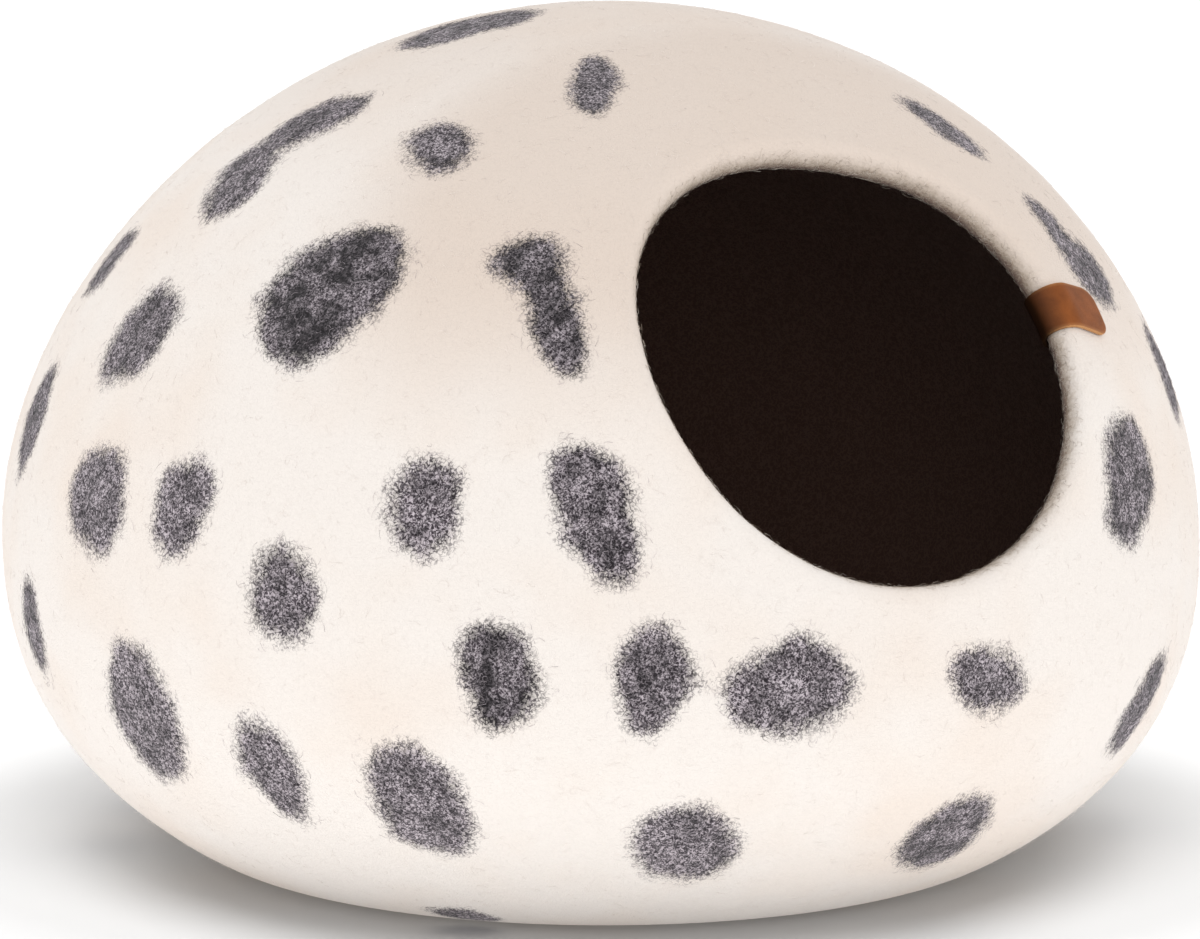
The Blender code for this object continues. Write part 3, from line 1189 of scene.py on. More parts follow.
@dataclass
class FeltShell:
    """The one-piece shell: outer skin, rounded rim and inner skin, closed and a little uneven."""

    skin: Skin
    pattern: SpotPattern
    spokes: int = 300
    outer_rows: int = 130
    inner_rows: int = 84
    rim_rows: int = 14
    row_grading: float = 1.2  # over 1, rows are closer near the rim
    lump_height: float = 0.0009
    lump_size: float = 0.030
    spot_reach_mm: float = 60.0  # the stored distance from a spot's border stops at this
    warp_mm: float = 13.0  # how far the spots' borders wander
    warp_size: float = 0.020
    flat_base: float = 0.004  # the base under this height stays flat
    base_fade: float = 4.0  # the lumps are full from this many times that height

    def rows(self) -> tuple[list[np.ndarray], list[np.ndarray]]:
        """Work out the shell's rows of points.

        Returns:
            The rows from the far side over the outer skin and the rim to the far side inside, and for
            each row the way along the skin from the rim's outer side in metres, positive inwards.
        """
        skin = self.skin
        turn = np.arange(self.spokes) * math.tau / self.spokes
        start = skin.rim_polar(turn)
        outer, outer_way = self.skin_rows(turn, start, self.outer_rows, inside=False)
        inner, inner_way = self.skin_rows(turn, start, self.inner_rows, inside=True)
        half_circle = math.pi * skin.rim_thickness / 2
        rim, rim_way = [], []
        for step in range(1, self.rim_rows):
            share = step / self.rim_rows
            rim.append(skin.rim_round(turn, math.pi * share))
            rim_way.append(np.full(self.spokes, half_circle * share))
        rows = outer[::-1] + rim + inner
        ways = [-way for way in outer_way[::-1]] + rim_way + [half_circle + way for way in inner_way]
        return rows, ways

    def skin_rows(
        self, turn: np.ndarray, start: np.ndarray, count: int, inside: bool
    ) -> tuple[list[np.ndarray], list[np.ndarray]]:
        """Work out the rows of one skin, from the rim to the far side.

        Args:
            turn: the spokes' angles around the mouth.
            start: the rim's polar angle on each spoke.
            count: how many rows.
            inside: whether it is the inner skin.

        Returns:
            The rows, and each row's distances from the rim.
        """
        rim_points = self.skin.points(start, turn)
        rows, ways = [], []
        for step in range(count):
            share = (step / count) ** self.row_grading
            points, normals, _away = self.skin.frame(start + (math.pi - start) * share, turn)
            distance = np.linalg.norm(points - rim_points, axis=1)
            depth = self.skin.thickness_at(distance)[:, None] if inside else 0.0
            rows.append(points - normals * depth)
            ways.append(distance)
        return rows, ways

    def ends(self) -> tuple[np.ndarray, np.ndarray]:
        """Return the points where the outer and the inner skin close, opposite the mouth."""
        points, normals, _away = self.skin.frame(np.array((math.pi - ANGLE_STEP * 2,)), np.array((0.0,)))
        return points[0], points[0] - normals[0] * self.skin.wall

    def faces(self, row_count: int) -> list[tuple[int, ...]]:
        """List the faces, which point out of the felt.

        Args:
            row_count: how many rows of points there are.

        Returns:
            The vertex numbers of each face.
        """
        faces = []
        last = 1 + row_count * self.spokes
        for spoke in range(self.spokes):
            after = (spoke + 1) % self.spokes
            faces.append((0, 1 + after, 1 + spoke))
            for row in range(row_count - 1):
                here = 1 + row * self.spokes
                there = here + self.spokes
                faces.append((here + spoke, here + after, there + after, there + spoke))
            faces.append((last, last - self.spokes + spoke, last - self.spokes + after))
        return faces

    def mesh(self) -> bpy.types.Mesh:
        """Build the shell's mesh with its spots and its way inwards stored on the vertices.

        Returns:
            The mesh, before its fine unevenness.
        """
        rows, ways = self.rows()
        outer_end, inner_end = self.ends()
        points = np.concatenate([outer_end[None], *rows, inner_end[None]])
        far_way = float(np.max(ways[0]))
        inward = np.concatenate([[-abs(far_way)], *ways, [abs(far_way)]])
        faces = self.faces(len(rows))
        mesh = mesh_from("felt_shell_skin", points, faces)
        outer_count = 1 + self.spokes * self.outer_rows
        outer_faces = [face for face in faces if max(face) < outer_count]
        tree = BVHTree.FromPolygons(points[:outer_count].tolist(), outer_faces)
        normals = np.zeros(len(points) * 3, np.float32)
        mesh.vertices.foreach_get("normal", normals)
        normals = normals.reshape(-1, 3).astype(float)
        self.pattern.place(points[:outer_count], normals[:outer_count], -inward[:outer_count], tree)
        spot_depth = np.full(len(points), 1.0)
        tones = np.zeros(len(points))
        with_rim = outer_count + self.spokes * (self.rim_rows - 1)
        spot_depth[:with_rim], tones[:with_rim] = self.pattern.depths(points[:with_rim])
        spot_mm = np.clip(spot_depth / MM, -self.spot_reach_mm, self.spot_reach_mm)
        set_attribute(mesh, SPOT_DEPTH, spot_mm)
        set_attribute(mesh, SPOT_TONE, tones)
        set_attribute(mesh, INWARD, inward / MM)
        return mesh

    def surface_tree(self) -> bpy.types.NodeTree:
        """Build the tree that gives the shell its fine lumps and lets the spots' borders wander.

        Returns:
            The tree.
        """
        sockets = {
            "Lump Height": "NodeSocketFloat",
            "Lump Size": "NodeSocketFloat",
            "Warp": "NodeSocketFloat",
            "Warp Size": "NodeSocketFloat",
            "Flat Base": "NodeSocketFloat",
            "Material": "NodeSocketMaterial",
        }
        tree, group = group_tree("felted_surface", sockets)
        given = group.outputs
        place = add_node(tree, "GeometryNodeInputPosition").outputs[0]
        normal = add_node(tree, "GeometryNodeInputNormal").outputs[0]
        lump_scale = add_node(
            tree, "ShaderNodeMath", {0: 1.0, 1: given["Lump Size"]}, operation="DIVIDE"
        ).outputs[0]
        lumps = add_node(
            tree,
            "ShaderNodeTexNoise",
            {"Vector": place, "Scale": lump_scale, "Detail": 2.0, "Roughness": 0.5},
        ).outputs[0]
        centred = add_node(tree, "ShaderNodeMath", {0: lumps, 1: 0.5}, operation="SUBTRACT").outputs[0]
        height = add_node(
            tree, "ShaderNodeMath", {0: centred, 1: given["Lump Height"]}, operation="MULTIPLY"
        ).outputs[0]
        level = add_node(tree, "ShaderNodeSeparateXYZ", {0: place}).outputs["Z"]
        lumpy_from = add_node(
            tree, "ShaderNodeMath", {0: given["Flat Base"], 1: self.base_fade}, operation="MULTIPLY"
        ).outputs[0]
        lifted = add_node(
            tree,
            "ShaderNodeMapRange",
            {"Value": level, "From Min": given["Flat Base"], "From Max": lumpy_from},
            interpolation_type="SMOOTHSTEP",
        ).outputs[0]
        height = add_node(tree, "ShaderNodeMath", {0: height, 1: lifted}, operation="MULTIPLY").outputs[0]
        offset = add_node(
            tree, "ShaderNodeVectorMath", {0: normal, "Scale": height}, operation="SCALE"
        ).outputs[0]
        moved = add_node(
            tree, "GeometryNodeSetPosition", {"Geometry": given["Geometry"], "Offset": offset}
        ).outputs[0]
        warp_scale = add_node(
            tree, "ShaderNodeMath", {0: 1.0, 1: given["Warp Size"]}, operation="DIVIDE"
        ).outputs[0]
        wander = add_node(
            tree,
            "ShaderNodeTexNoise",
            {"Vector": place, "Scale": warp_scale, "Detail": 1.0, "Roughness": 0.5},
        ).outputs[0]
        wander = add_node(tree, "ShaderNodeMath", {0: wander, 1: 0.5}, operation="SUBTRACT").outputs[0]
        depth = add_node(
            tree, "GeometryNodeInputNamedAttribute", {"Name": SPOT_DEPTH}, data_type="FLOAT"
        ).outputs["Attribute"]
        depth = add_node(
            tree, "ShaderNodeMath", {0: wander, 1: given["Warp"], 2: depth}, operation="MULTIPLY_ADD"
        ).outputs[0]
        stored = add_node(
            tree,
            "GeometryNodeStoreNamedAttribute",
            {"Geometry": moved, "Name": SPOT_DEPTH, "Value": depth},
            data_type="FLOAT",
            domain="POINT",
        ).outputs[0]
        real = add_node(tree, "GeometryNodeRealizeInstances", {"Geometry": stored}).outputs[0]
        dressed = add_node(
            tree, "GeometryNodeSetMaterial", {"Geometry": real, "Material": given["Material"]}
        ).outputs[0]
        add_node(tree, "NodeGroupOutput", {"Geometry": dressed})
        return tree

    def build(self, finish: FeltFinish) -> bpy.types.Object:
        """Make the shell.

        Args:
            finish: the felt.

        Returns:
            The finished piece.
        """
        values = {
            "Lump Height": self.lump_height,
            "Lump Size": self.lump_size,
            "Warp": self.warp_mm,
            "Warp Size": self.warp_size,
            "Flat Base": self.flat_base,
            "Material": finish.material(),
        }
        return grown("felt_shell_skin", self.mesh(), self.surface_tree(), values)


# ---------------------------------------------------------------- loose strands


class StrandKind(Enum):
    """Where loose strands of wool stand off the felt."""

    SPOT = "spot_strands"
    DARK_BORDER = "dark_border_strands"
    PALE_BORDER = "pale_border_strands"
    CREAM = "cream_strands"
    RIM = "rim_strands"


@dataclass(frozen=True)
class StrandField:
    """How one kind of strand is sown: its sizes, and the band of an attribute in which it grows.

    The band is in millimetres of the measure: strands grow thicker from where it starts to where it is
    full, and thin out again to where it ends.
    """

    kind: StrandKind
    finish: StrandFinish
    per_square_metre: float  # where the band is full
    length: float
    thickness: float  # at the root
    curl: float  # how far the bends reach to each side
    lift: float  # how far the tips stand off the felt, up to this
    measure: str  # the attribute that the band is given in
    starts_at: float
    full_from: float
    full_to: float
    ends_at: float
    deepest: float  # of the way inwards, in mm
    seed: int


# Each strand stands for a wisp of fibres: a single one is 0.03 mm thick and would not show.
STRANDS = (
    StrandField(
        kind=StrandKind.SPOT,
        finish=StrandFinish("carded_grey_wool", "120e12", "4a4348", "b6acb1"),
        per_square_metre=115000,
        length=4.2 * MM,
        thickness=0.20 * MM,
        curl=0.9 * MM,
        lift=0.35 * MM,
        measure=SPOT_DEPTH,
        starts_at=-90.0,
        full_from=-89.0,
        full_to=-4.5,
        ends_at=-1.5,
        deepest=4.0,
        seed=21,
    ),
    StrandField(
        kind=StrandKind.DARK_BORDER,
        finish=StrandFinish("carded_charcoal_wool", "332d31", "5b5357", "8a8086"),
        per_square_metre=190000,
        length=3.8 * MM,
        thickness=0.11 * MM,
        curl=0.8 * MM,
        lift=0.35 * MM,
        measure=SPOT_DEPTH,
        starts_at=-5.5,
        full_from=-3.0,
        full_to=-1.5,
        ends_at=2.5,
        deepest=4.0,
        seed=22,
    ),
    StrandField(
        kind=StrandKind.PALE_BORDER,
        finish=StrandFinish("carded_silver_wool", "857b80", "a79da1", "cbc1c4"),
        per_square_metre=150000,
        length=4.2 * MM,
        thickness=0.12 * MM,
        curl=0.8 * MM,
        lift=0.4 * MM,
        measure=SPOT_DEPTH,
        starts_at=-4.0,
        full_from=-1.0,
        full_to=1.0,
        ends_at=5.5,
        deepest=4.0,
        seed=23,
    ),
    StrandField(
        kind=StrandKind.CREAM,
        finish=StrandFinish("carded_cream_wool", "dad1cb", "e6ddd7", "f3ebe5"),
        per_square_metre=17000,
        length=5.0 * MM,
        thickness=0.11 * MM,
        curl=1.4 * MM,
        lift=0.9 * MM,
        measure=SPOT_DEPTH,
        starts_at=-3.5,
        full_from=1.0,
        full_to=1000.0,
        ends_at=1001.0,
        deepest=13.0,
        seed=24,
    ),
    # Partly painted shade: the rim strands are brown-grey, a fibre tone together with the shade on the rim's
    # inner round.
    StrandField(
        kind=StrandKind.RIM,
        finish=StrandFinish("carded_brown_wool_and_shade", "86776a", "b3a596", "e0d6cb"),
        per_square_metre=600000,
        length=3.6 * MM,
        thickness=0.13 * MM,
        curl=1.0 * MM,
        lift=0.3 * MM,
        measure=INWARD,
        starts_at=7.0,
        full_from=12.0,
        full_to=17.0,
        ends_at=21.0,
        deepest=40.0,
        seed=25,
    ),
)


@dataclass
class LooseWool:
    """The wool strands that stand off the felt, sown over the shell's skin."""

    sweeps_deg: tuple[float, ...] = (60.0, 140.0, 230.0)  # of the arcs that the strands are bent from
    curl_points: tuple[int, ...] = (3, 4, 5)  # points of each arc
    sides: int = 3
    shortest: float = 0.55  # shares of the kind's length
    longest: float = 1.25
    taper: float = 0.75  # share of its thickness that a strand loses towards its tip
    curl_size: float = 0.0032  # size of the bends
    noise_slices: float = 400.0  # so that neighbours curl differently
    hump: float = 3.0  # how far a strand's middle arches up, against its tip
    bare_base: float = 0.008  # no strand starts lower than this, where the felt meets the floor

    def tree(self) -> bpy.types.NodeTree:
        """Build the tree that sows curled strands over a mesh.

        Returns:
            The tree.
        """
        tree, group = self.empty_tree()
        sown = add_node(
            tree,
            "GeometryNodeDistributePointsOnFaces",
            {
                "Mesh": group.outputs["Geometry"],
                "Density": group.outputs["Strands per Area"],
                "Seed": group.outputs["Seed"],
            },
            distribute_method="RANDOM",
        )
        laid = self.laid(tree, sown, self.thinned(tree, sown, group), group)
        strands = self.swept(tree, self.curled(tree, laid, group), group)
        real = add_node(tree, "GeometryNodeRealizeInstances", {"Geometry": strands}).outputs[0]
        dressed = add_node(
            tree, "GeometryNodeSetMaterial", {"Geometry": real, "Material": group.outputs["Material"]}
        ).outputs[0]
        add_node(tree, "NodeGroupOutput", {"Geometry": dressed})
        return tree

    def empty_tree(self) -> tuple[bpy.types.NodeTree, bpy.types.Node]:
        """Start the strands' tree with its named inputs.

        Returns:
            The tree and its input node.
        """
        sockets = {
            "Strands per Area": "NodeSocketFloat",
            "Length": "NodeSocketFloat",
            "Thickness": "NodeSocketFloat",
            "Curl": "NodeSocketFloat",
            "Lift": "NodeSocketFloat",
            "Measure": "NodeSocketString",
            "Starts At": "NodeSocketFloat",
            "Full From": "NodeSocketFloat",
            "Full To": "NodeSocketFloat",
            "Ends At": "NodeSocketFloat",
            "Deepest": "NodeSocketFloat",
            "Bare Base": "NodeSocketFloat",
            "Seed": "NodeSocketInt",
            "Material": "NodeSocketMaterial",
        }
        return group_tree("loose_wool", sockets)

    def thinned(
        self, tree: bpy.types.NodeTree, sown: bpy.types.Node, group: bpy.types.Node
    ) -> bpy.types.NodeSocket:
        """Keep the points that lie in the kind's band, off the inside and off the base.

        Args:
            tree: the tree.
            sown: the node that sows points on the felt.
            group: the tree's input node.

        Returns:
            The points, which carry their shade and the felt's normal.
        """
        given = group.outputs
        place = add_node(tree, "GeometryNodeInputPosition").outputs[0]
        measure = add_node(
            tree, "GeometryNodeInputNamedAttribute", {"Name": given["Measure"]}, data_type="FLOAT"
        ).outputs["Attribute"]
        inward = add_node(
            tree, "GeometryNodeInputNamedAttribute", {"Name": INWARD}, data_type="FLOAT"
        ).outputs["Attribute"]
        height = add_node(tree, "ShaderNodeSeparateXYZ", {0: place}).outputs["Z"]
        rise = add_node(
            tree,
            "ShaderNodeMapRange",
            {"Value": measure, "From Min": given["Starts At"], "From Max": given["Full From"]},
        ).outputs[0]
        fall = add_node(
            tree,
            "ShaderNodeMapRange",
            {
                "Value": measure,
                "From Min": given["Full To"],
                "From Max": given["Ends At"],
                "To Min": 1.0,
                "To Max": 0.0,
            },
        ).outputs[0]
        outside = add_node(
            tree, "ShaderNodeMath", {0: inward, 1: given["Deepest"]}, operation="LESS_THAN"
        ).outputs[0]
        clear = add_node(
            tree, "ShaderNodeMath", {0: height, 1: given["Bare Base"]}, operation="GREATER_THAN"
        ).outputs[0]
        chance = rise
        for share in (fall, outside, clear):
            chance = add_node(
                tree, "ShaderNodeMath", {0: chance, 1: share}, operation="MULTIPLY"
            ).outputs[0]
        dice = add_node(
            tree, "FunctionNodeRandomValue", {2: 0.0, 3: 1.0, "Seed": given["Seed"]}, data_type="FLOAT"
        ).outputs[1]
        unwanted = add_node(tree, "ShaderNodeMath", {0: dice, 1: chance}, operation="GREATER_THAN").outputs[0]
        kept = add_node(
            tree,
            "GeometryNodeDeleteGeometry",
            {"Geometry": sown.outputs["Points"], "Selection": unwanted},
            domain="POINT",
        ).outputs[0]
        shade = add_node(
            tree, "FunctionNodeRandomValue", {2: 0.0, 3: 1.0, "Seed": 5}, data_type="FLOAT"
        ).outputs[1]
        shaded = add_node(
            tree,
            "GeometryNodeStoreNamedAttribute",
            {"Geometry": kept, "Name": SHADE, "Value": shade},
            data_type="FLOAT",
            domain="POINT",
        ).outputs[0]
        return add_node(
            tree,
            "GeometryNodeStoreNamedAttribute",
            {"Geometry": shaded, "Name": OUTWARD, "Value": sown.outputs["Normal"]},
            data_type="FLOAT_VECTOR",
            domain="POINT",
        ).outputs[0]

    def laid(
        self,
        tree: bpy.types.NodeTree,
        sown: bpy.types.Node,
        points: bpy.types.NodeSocket,
        group: bpy.types.Node,
    ) -> bpy.types.NodeSocket:
        """Lay an arc flat on the felt at each point, spun and sized at random.

        Args:
            tree: the tree.
            sown: the node that sowed the points and knows how the felt lies there.
            points: the points that are kept.
            group: the tree's input node.

        Returns:
            The arcs, as curves of their own.
        """
        length = group.outputs["Length"]
        arcs = add_node(tree, "GeometryNodeJoinGeometry")
        for sweep_deg, count in zip(self.sweeps_deg, self.curl_points):
            sweep = math.radians(sweep_deg)
            radius = add_node(tree, "ShaderNodeMath", {0: length, 1: sweep}, operation="DIVIDE").outputs[0]
            arc = add_node(
                tree,
                "GeometryNodeCurveArc",
                {"Resolution": count, "Radius": radius, "Sweep Angle": sweep},
                mode="RADIUS",
            ).outputs[0]
            instance = add_node(tree, "GeometryNodeGeometryToInstance", {0: arc}).outputs[0]
            tree.links.new(instance, arcs.inputs[0])
        spin = add_node(
            tree, "FunctionNodeRandomValue", {2: 0.0, 3: math.tau, "Seed": 6}, data_type="FLOAT"
        ).outputs[1]
        spun = add_node(tree, "ShaderNodeCombineXYZ", {"Z": spin}).outputs[0]
        spun = add_node(tree, "FunctionNodeEulerToRotation", {0: spun}).outputs[0]
        rotation = add_node(
            tree,
            "FunctionNodeRotateRotation",
            {"Rotation": sown.outputs["Rotation"], "Rotate By": spun},
            rotation_space="LOCAL",
        ).outputs[0]
        size = add_node(
            tree,
            "FunctionNodeRandomValue",
            {2: self.shortest, 3: self.longest, "Seed": 7},
            data_type="FLOAT",
        ).outputs[1]
        which = add_node(
            tree,
            "FunctionNodeRandomValue",
            {4: 0, 5: len(self.sweeps_deg) - 1, "Seed": 8},
            data_type="INT",
        ).outputs[2]
        placed = add_node(
            tree,
            "GeometryNodeInstanceOnPoints",
            {
                "Points": points,
                "Instance": arcs.outputs[0],
                "Pick Instance": True,
                "Instance Index": which,
                "Rotation": rotation,
                "Scale": size,
            },
        ).outputs[0]
        return add_node(tree, "GeometryNodeRealizeInstances", {"Geometry": placed}).outputs[0]

    def curled(
        self, tree: bpy.types.NodeTree, laid: bpy.types.NodeSocket, group: bpy.types.Node
    ) -> bpy.types.NodeSocket:
        """Bend the arcs at random along the felt, and lift their middles and tips off it.

        Args:
            tree: the tree.
            laid: the arcs.
            group: the tree's input node.

        Returns:
            The curled curves.
        """
        given = group.outputs
        along = add_node(tree, "GeometryNodeSplineParameter").outputs["Factor"]
        place = add_node(tree, "GeometryNodeInputPosition").outputs[0]
        shade = add_node(
            tree, "GeometryNodeInputNamedAttribute", {"Name": SHADE}, data_type="FLOAT"
        ).outputs["Attribute"]
        outward = add_node(
            tree, "GeometryNodeInputNamedAttribute", {"Name": OUTWARD}, data_type="FLOAT_VECTOR"
        ).outputs["Attribute"]
        piece = add_node(
            tree, "ShaderNodeMath", {0: shade, 1: self.noise_slices}, operation="MULTIPLY"
        ).outputs[0]
        bends = add_node(
            tree,
            "ShaderNodeTexNoise",
            {"Vector": place, "W": piece, "Scale": 1 / self.curl_size, "Detail": 0.0},
            noise_dimensions="4D",
        ).outputs["Color"]
        bends = add_node(
            tree, "ShaderNodeVectorMath", {0: bends, 1: (0.5, 0.5, 0.5)}, operation="SUBTRACT"
        ).outputs[0]
        reach = add_node(
            tree, "ShaderNodeMath", {0: given["Curl"], 1: 2.0}, operation="MULTIPLY"
        ).outputs[0]
        bends = add_node(
            tree, "ShaderNodeVectorMath", {0: bends, "Scale": reach}, operation="SCALE"
        ).outputs[0]
        upright = add_node(
            tree, "ShaderNodeVectorMath", {0: bends, 1: outward}, operation="DOT_PRODUCT"
        ).outputs["Value"]
        rest = add_node(tree, "ShaderNodeMath", {0: 1.0, 1: along}, operation="SUBTRACT").outputs[0]
        arch = add_node(tree, "ShaderNodeMath", {0: along, 1: rest}, operation="MULTIPLY").outputs[0]
        arch = add_node(
            tree, "ShaderNodeMath", {0: arch, 1: self.hump, 2: along}, operation="MULTIPLY_ADD"
        ).outputs[0]
        raised = add_node(tree, "ShaderNodeMath", {0: arch, 1: shade}, operation="MULTIPLY").outputs[0]
        raised = add_node(
            tree, "ShaderNodeMath", {0: raised, 1: given["Lift"]}, operation="MULTIPLY"
        ).outputs[0]
        raised = add_node(tree, "ShaderNodeMath", {0: raised, 1: upright}, operation="SUBTRACT").outputs[0]
        up = add_node(
            tree, "ShaderNodeVectorMath", {0: outward, "Scale": raised}, operation="SCALE"
        ).outputs[0]
        offset = add_node(tree, "ShaderNodeVectorMath", {0: bends, 1: up}, operation="ADD").outputs[0]
        return add_node(
            tree, "GeometryNodeSetPosition", {"Geometry": laid, "Offset": offset}
        ).outputs[0]

    def swept(
        self, tree: bpy.types.NodeTree, curled: bpy.types.NodeSocket, group: bpy.types.Node
    ) -> bpy.types.NodeSocket:
        """Give the curves a thickness that tapers to the tip.

        Args:
            tree: the tree.
            curled: the curves.
            group: the tree's input node.

        Returns:
            The strands, closed at both ends.
        """
        along = add_node(tree, "GeometryNodeSplineParameter").outputs["Factor"]
        slim = add_node(
            tree, "ShaderNodeMath", {0: along, 1: -self.taper, 2: 1.0}, operation="MULTIPLY_ADD"
        ).outputs[0]
        width = add_node(
            tree, "ShaderNodeMath", {0: slim, 1: group.outputs["Thickness"]}, operation="MULTIPLY"
        ).outputs[0]
        radius = add_node(tree, "ShaderNodeMath", {0: width, 1: 0.5}, operation="MULTIPLY").outputs[0]
        profile = add_node(
            tree, "GeometryNodeCurvePrimitiveCircle", {"Resolution": self.sides, "Radius": 1.0}
        ).outputs[0]
        return add_node(
            tree,
            "GeometryNodeCurveToMesh",
            {"Curve": curled, "Profile Curve": profile, "Scale": radius, "Fill Caps": True},
        ).outputs[0]

    def build(self, shell: bpy.types.Object) -> list[bpy.types.Object]:
        """Sow every kind of strand.

        Args:
            shell: the finished felt shell.

        Returns:
            One piece for each kind.
        """
        tree = self.tree()
        pieces = []
        for row in STRANDS:
            values = {
                "Strands per Area": float(row.per_square_metre),
                "Length": row.length,
                "Thickness": row.thickness,
                "Curl": row.curl,
                "Lift": row.lift,
                "Measure": row.measure,
                "Starts At": row.starts_at,
                "Full From": row.full_from,
                "Full To": row.full_to,
                "Ends At": row.ends_at,
                "Deepest": row.deepest,
                "Bare Base": self.bare_base,
                "Seed": row.seed,
                "Material": row.finish.material(),
            }
            pieces.append(grown(row.kind.value, shell.data.copy(), tree, values))
        return pieces


# ---------------------------------------------------------------- the leather tab


class Leg(Enum):
    """The three stretches of the folded strip."""

    INNER = "down the inside"
    ROUND = "round the rim"
    OUTER = "down the outside"


@dataclass(frozen=True)
class Station:
    """One cross-section of the strip."""

    leg: Leg
    value: float  # the distance past the round, or the angle around it
    half_width: float
    shrink: float  # how much thinner each face lies there, to round off the cut end


@dataclass
class LeatherTab:
    """The strip of leather folded over the rim, with eased edges and a bare face."""

    skin: Skin
    turn_deg: float = -4.0
    width: float = 0.020
    thickness: float = 0.0017
    gap: float = 0.0007
    outer_leg: float = 0.0185
    inner_leg: float = 0.012
    corner: float = 0.0065  # radius of the two corners of the outer end
    spread: float = 0.6  # how much further from the mouth's axis the skin is, for each metre past the rim
    edge_round: float = 0.00045
    end_share: float = 0.3  # a section that lies lower than this share of the edge's round is its end
    rubbed_width: float = 0.0016
    most_rubbed: float = 0.45
    most_darkened: float = 0.97
    darkening_starts: float = 0.22  # shares of the way round the rim, from the outside
    darkening_full: float = 0.62
    edge_steps: int = 4
    face_steps: int = 30
    leg_steps: int = 16
    round_steps: int = 30
    corner_steps: int = 14

    def ring(self) -> tuple[np.ndarray, np.ndarray, np.ndarray]:
        """Work out the strip's cross-section as a rounded rectangle.

        Returns:
            For each point in order round it: its place across the strip, its distance off the felt, and
            1 on the cut edges or 0 on the faces.
        """
        half, radius = self.width / 2, self.edge_round
        low, high = self.gap, self.gap + self.thickness
        corners = (
            (half - radius, high - radius, 90.0),
            (half - radius, low + radius, 0.0),
            (-half + radius, low + radius, -90.0),
            (-half + radius, high - radius, 180.0),
        )
        across, offset, edge = [], [], []
        for number, (middle_across, middle_offset, start) in enumerate(corners):
            for step in range(self.edge_steps + 1):
                angle = math.radians(start - 90.0 * step / self.edge_steps)
                across.append(middle_across + radius * math.cos(angle))
                offset.append(middle_offset + radius * math.sin(angle))
                steep = abs(math.cos(angle)) > 0.5
                edge.append(1.0 if steep else 0.0)
            if number in (1, 3):
                start_across = across[-1]
                sign = -1.0 if number == 1 else 1.0
                for step in range(1, self.face_steps):
                    share = step / self.face_steps
                    across.append(start_across + sign * (self.width - 2 * radius) * share)
                    offset.append(offset[-1])
                    edge.append(0.0)
        return np.array(across), np.array(offset), np.array(edge)

    def stations(self) -> list[Station]:
        """List the cross-sections along the strip.

        Returns:
            The stations from its inner end to its outer one.
        """
        half = self.width / 2
        places = []
        for step in range(self.edge_steps):
            angle = math.pi / 2 * step / self.edge_steps
            shrink = self.edge_round * (1 - math.sin(angle))
            past_round = self.inner_leg - self.edge_round * (1 - math.cos(angle))
            places.append(Station(Leg.INNER, past_round, half, shrink))
        for step in range(self.leg_steps):
            past_round = (self.inner_leg - self.edge_round) * (1 - step / self.leg_steps)
            places.append(Station(Leg.INNER, past_round, half, 0.0))
        for step in range(self.round_steps + 1):
            places.append(Station(Leg.ROUND, math.pi * (1 - step / self.round_steps), half, 0.0))
        straight = self.outer_leg - self.corner
        for step in range(1, self.leg_steps + 1):
            places.append(Station(Leg.OUTER, straight * step / self.leg_steps, half, 0.0))
        for step in range(1, self.corner_steps + 1):
            angle = math.pi / 2 * step / self.corner_steps
            past_round = straight + self.corner * math.sin(angle)
            narrowed = half - self.corner * (1 - math.cos(angle))
            over = max(0.0, self.edge_round - (self.outer_leg - past_round))
            shrink = self.edge_round - math.sqrt(max(0.0, self.edge_round**2 - over**2))
            places.append(Station(Leg.OUTER, past_round, narrowed, shrink))
        return places

    def turns(self, across: np.ndarray, past_round: float) -> np.ndarray:
        """Find the turn of points of the strip.

        Args:
            across: distances across the strip from its middle line.
            past_round: the distance past the round of the rim.

        Returns:
            The angles around the mouth.
        """
        turn = math.radians(self.turn_deg)
        rim = self.skin.rim_polar(np.array((turn,)))[0]
        return turn + across / (self.skin.width / 2 * math.sin(rim) + self.spread * past_round)

    def place(self, leg: Leg, value: float, across: np.ndarray, offset: np.ndarray) -> np.ndarray:
        """Put one cross-section on the rim.

        Args:
            leg: the stretch.
            value: the distance past the round, or the angle around it.
            across: each point's place across the strip.
            offset: each point's distance off the felt.

        Returns:
            The points.
        """
        if leg is Leg.ROUND:
            return self.skin.rim_round(self.turns(across, 0.0), value, offset)
        turn = self.turns(across, value)
        start = self.skin.rim_polar(turn)
        step = self.skin.points(start + ANGLE_STEP, turn) - self.skin.points(start, turn)
        per_radian = np.linalg.norm(step, axis=1) / ANGLE_STEP
        points, normals, _away = self.skin.frame(start + value / per_radian, turn)
        if leg is Leg.OUTER:
            return points + normals * offset[:, None]
        return points - normals * (self.skin.thickness_at(np.full(len(across), value)) + offset)[:, None]

    def length(self) -> float:
        """Return the strip's flat length, along the middle of its thickness."""
        middle = self.skin.rim_thickness / 2 + self.gap + self.thickness / 2
        return self.inner_leg + math.pi * middle + self.outer_leg

    def bend(self, station: Station) -> float:
        """Work out how dark burnish and painted shade make the leather over the fold.

        Args:
            station: the cross-section.

        Returns:
            0 on the outer leg, rising over the crest to almost 1 on the side of the hole.
        """
        if station.leg is Leg.OUTER:
            return 0.0
        round_share = station.value / math.pi if station.leg is Leg.ROUND else 1.0
        darkened = (round_share - self.darkening_starts) / (self.darkening_full - self.darkening_starts)
        return self.most_darkened * min(max(darkened, 0.0), 1.0)

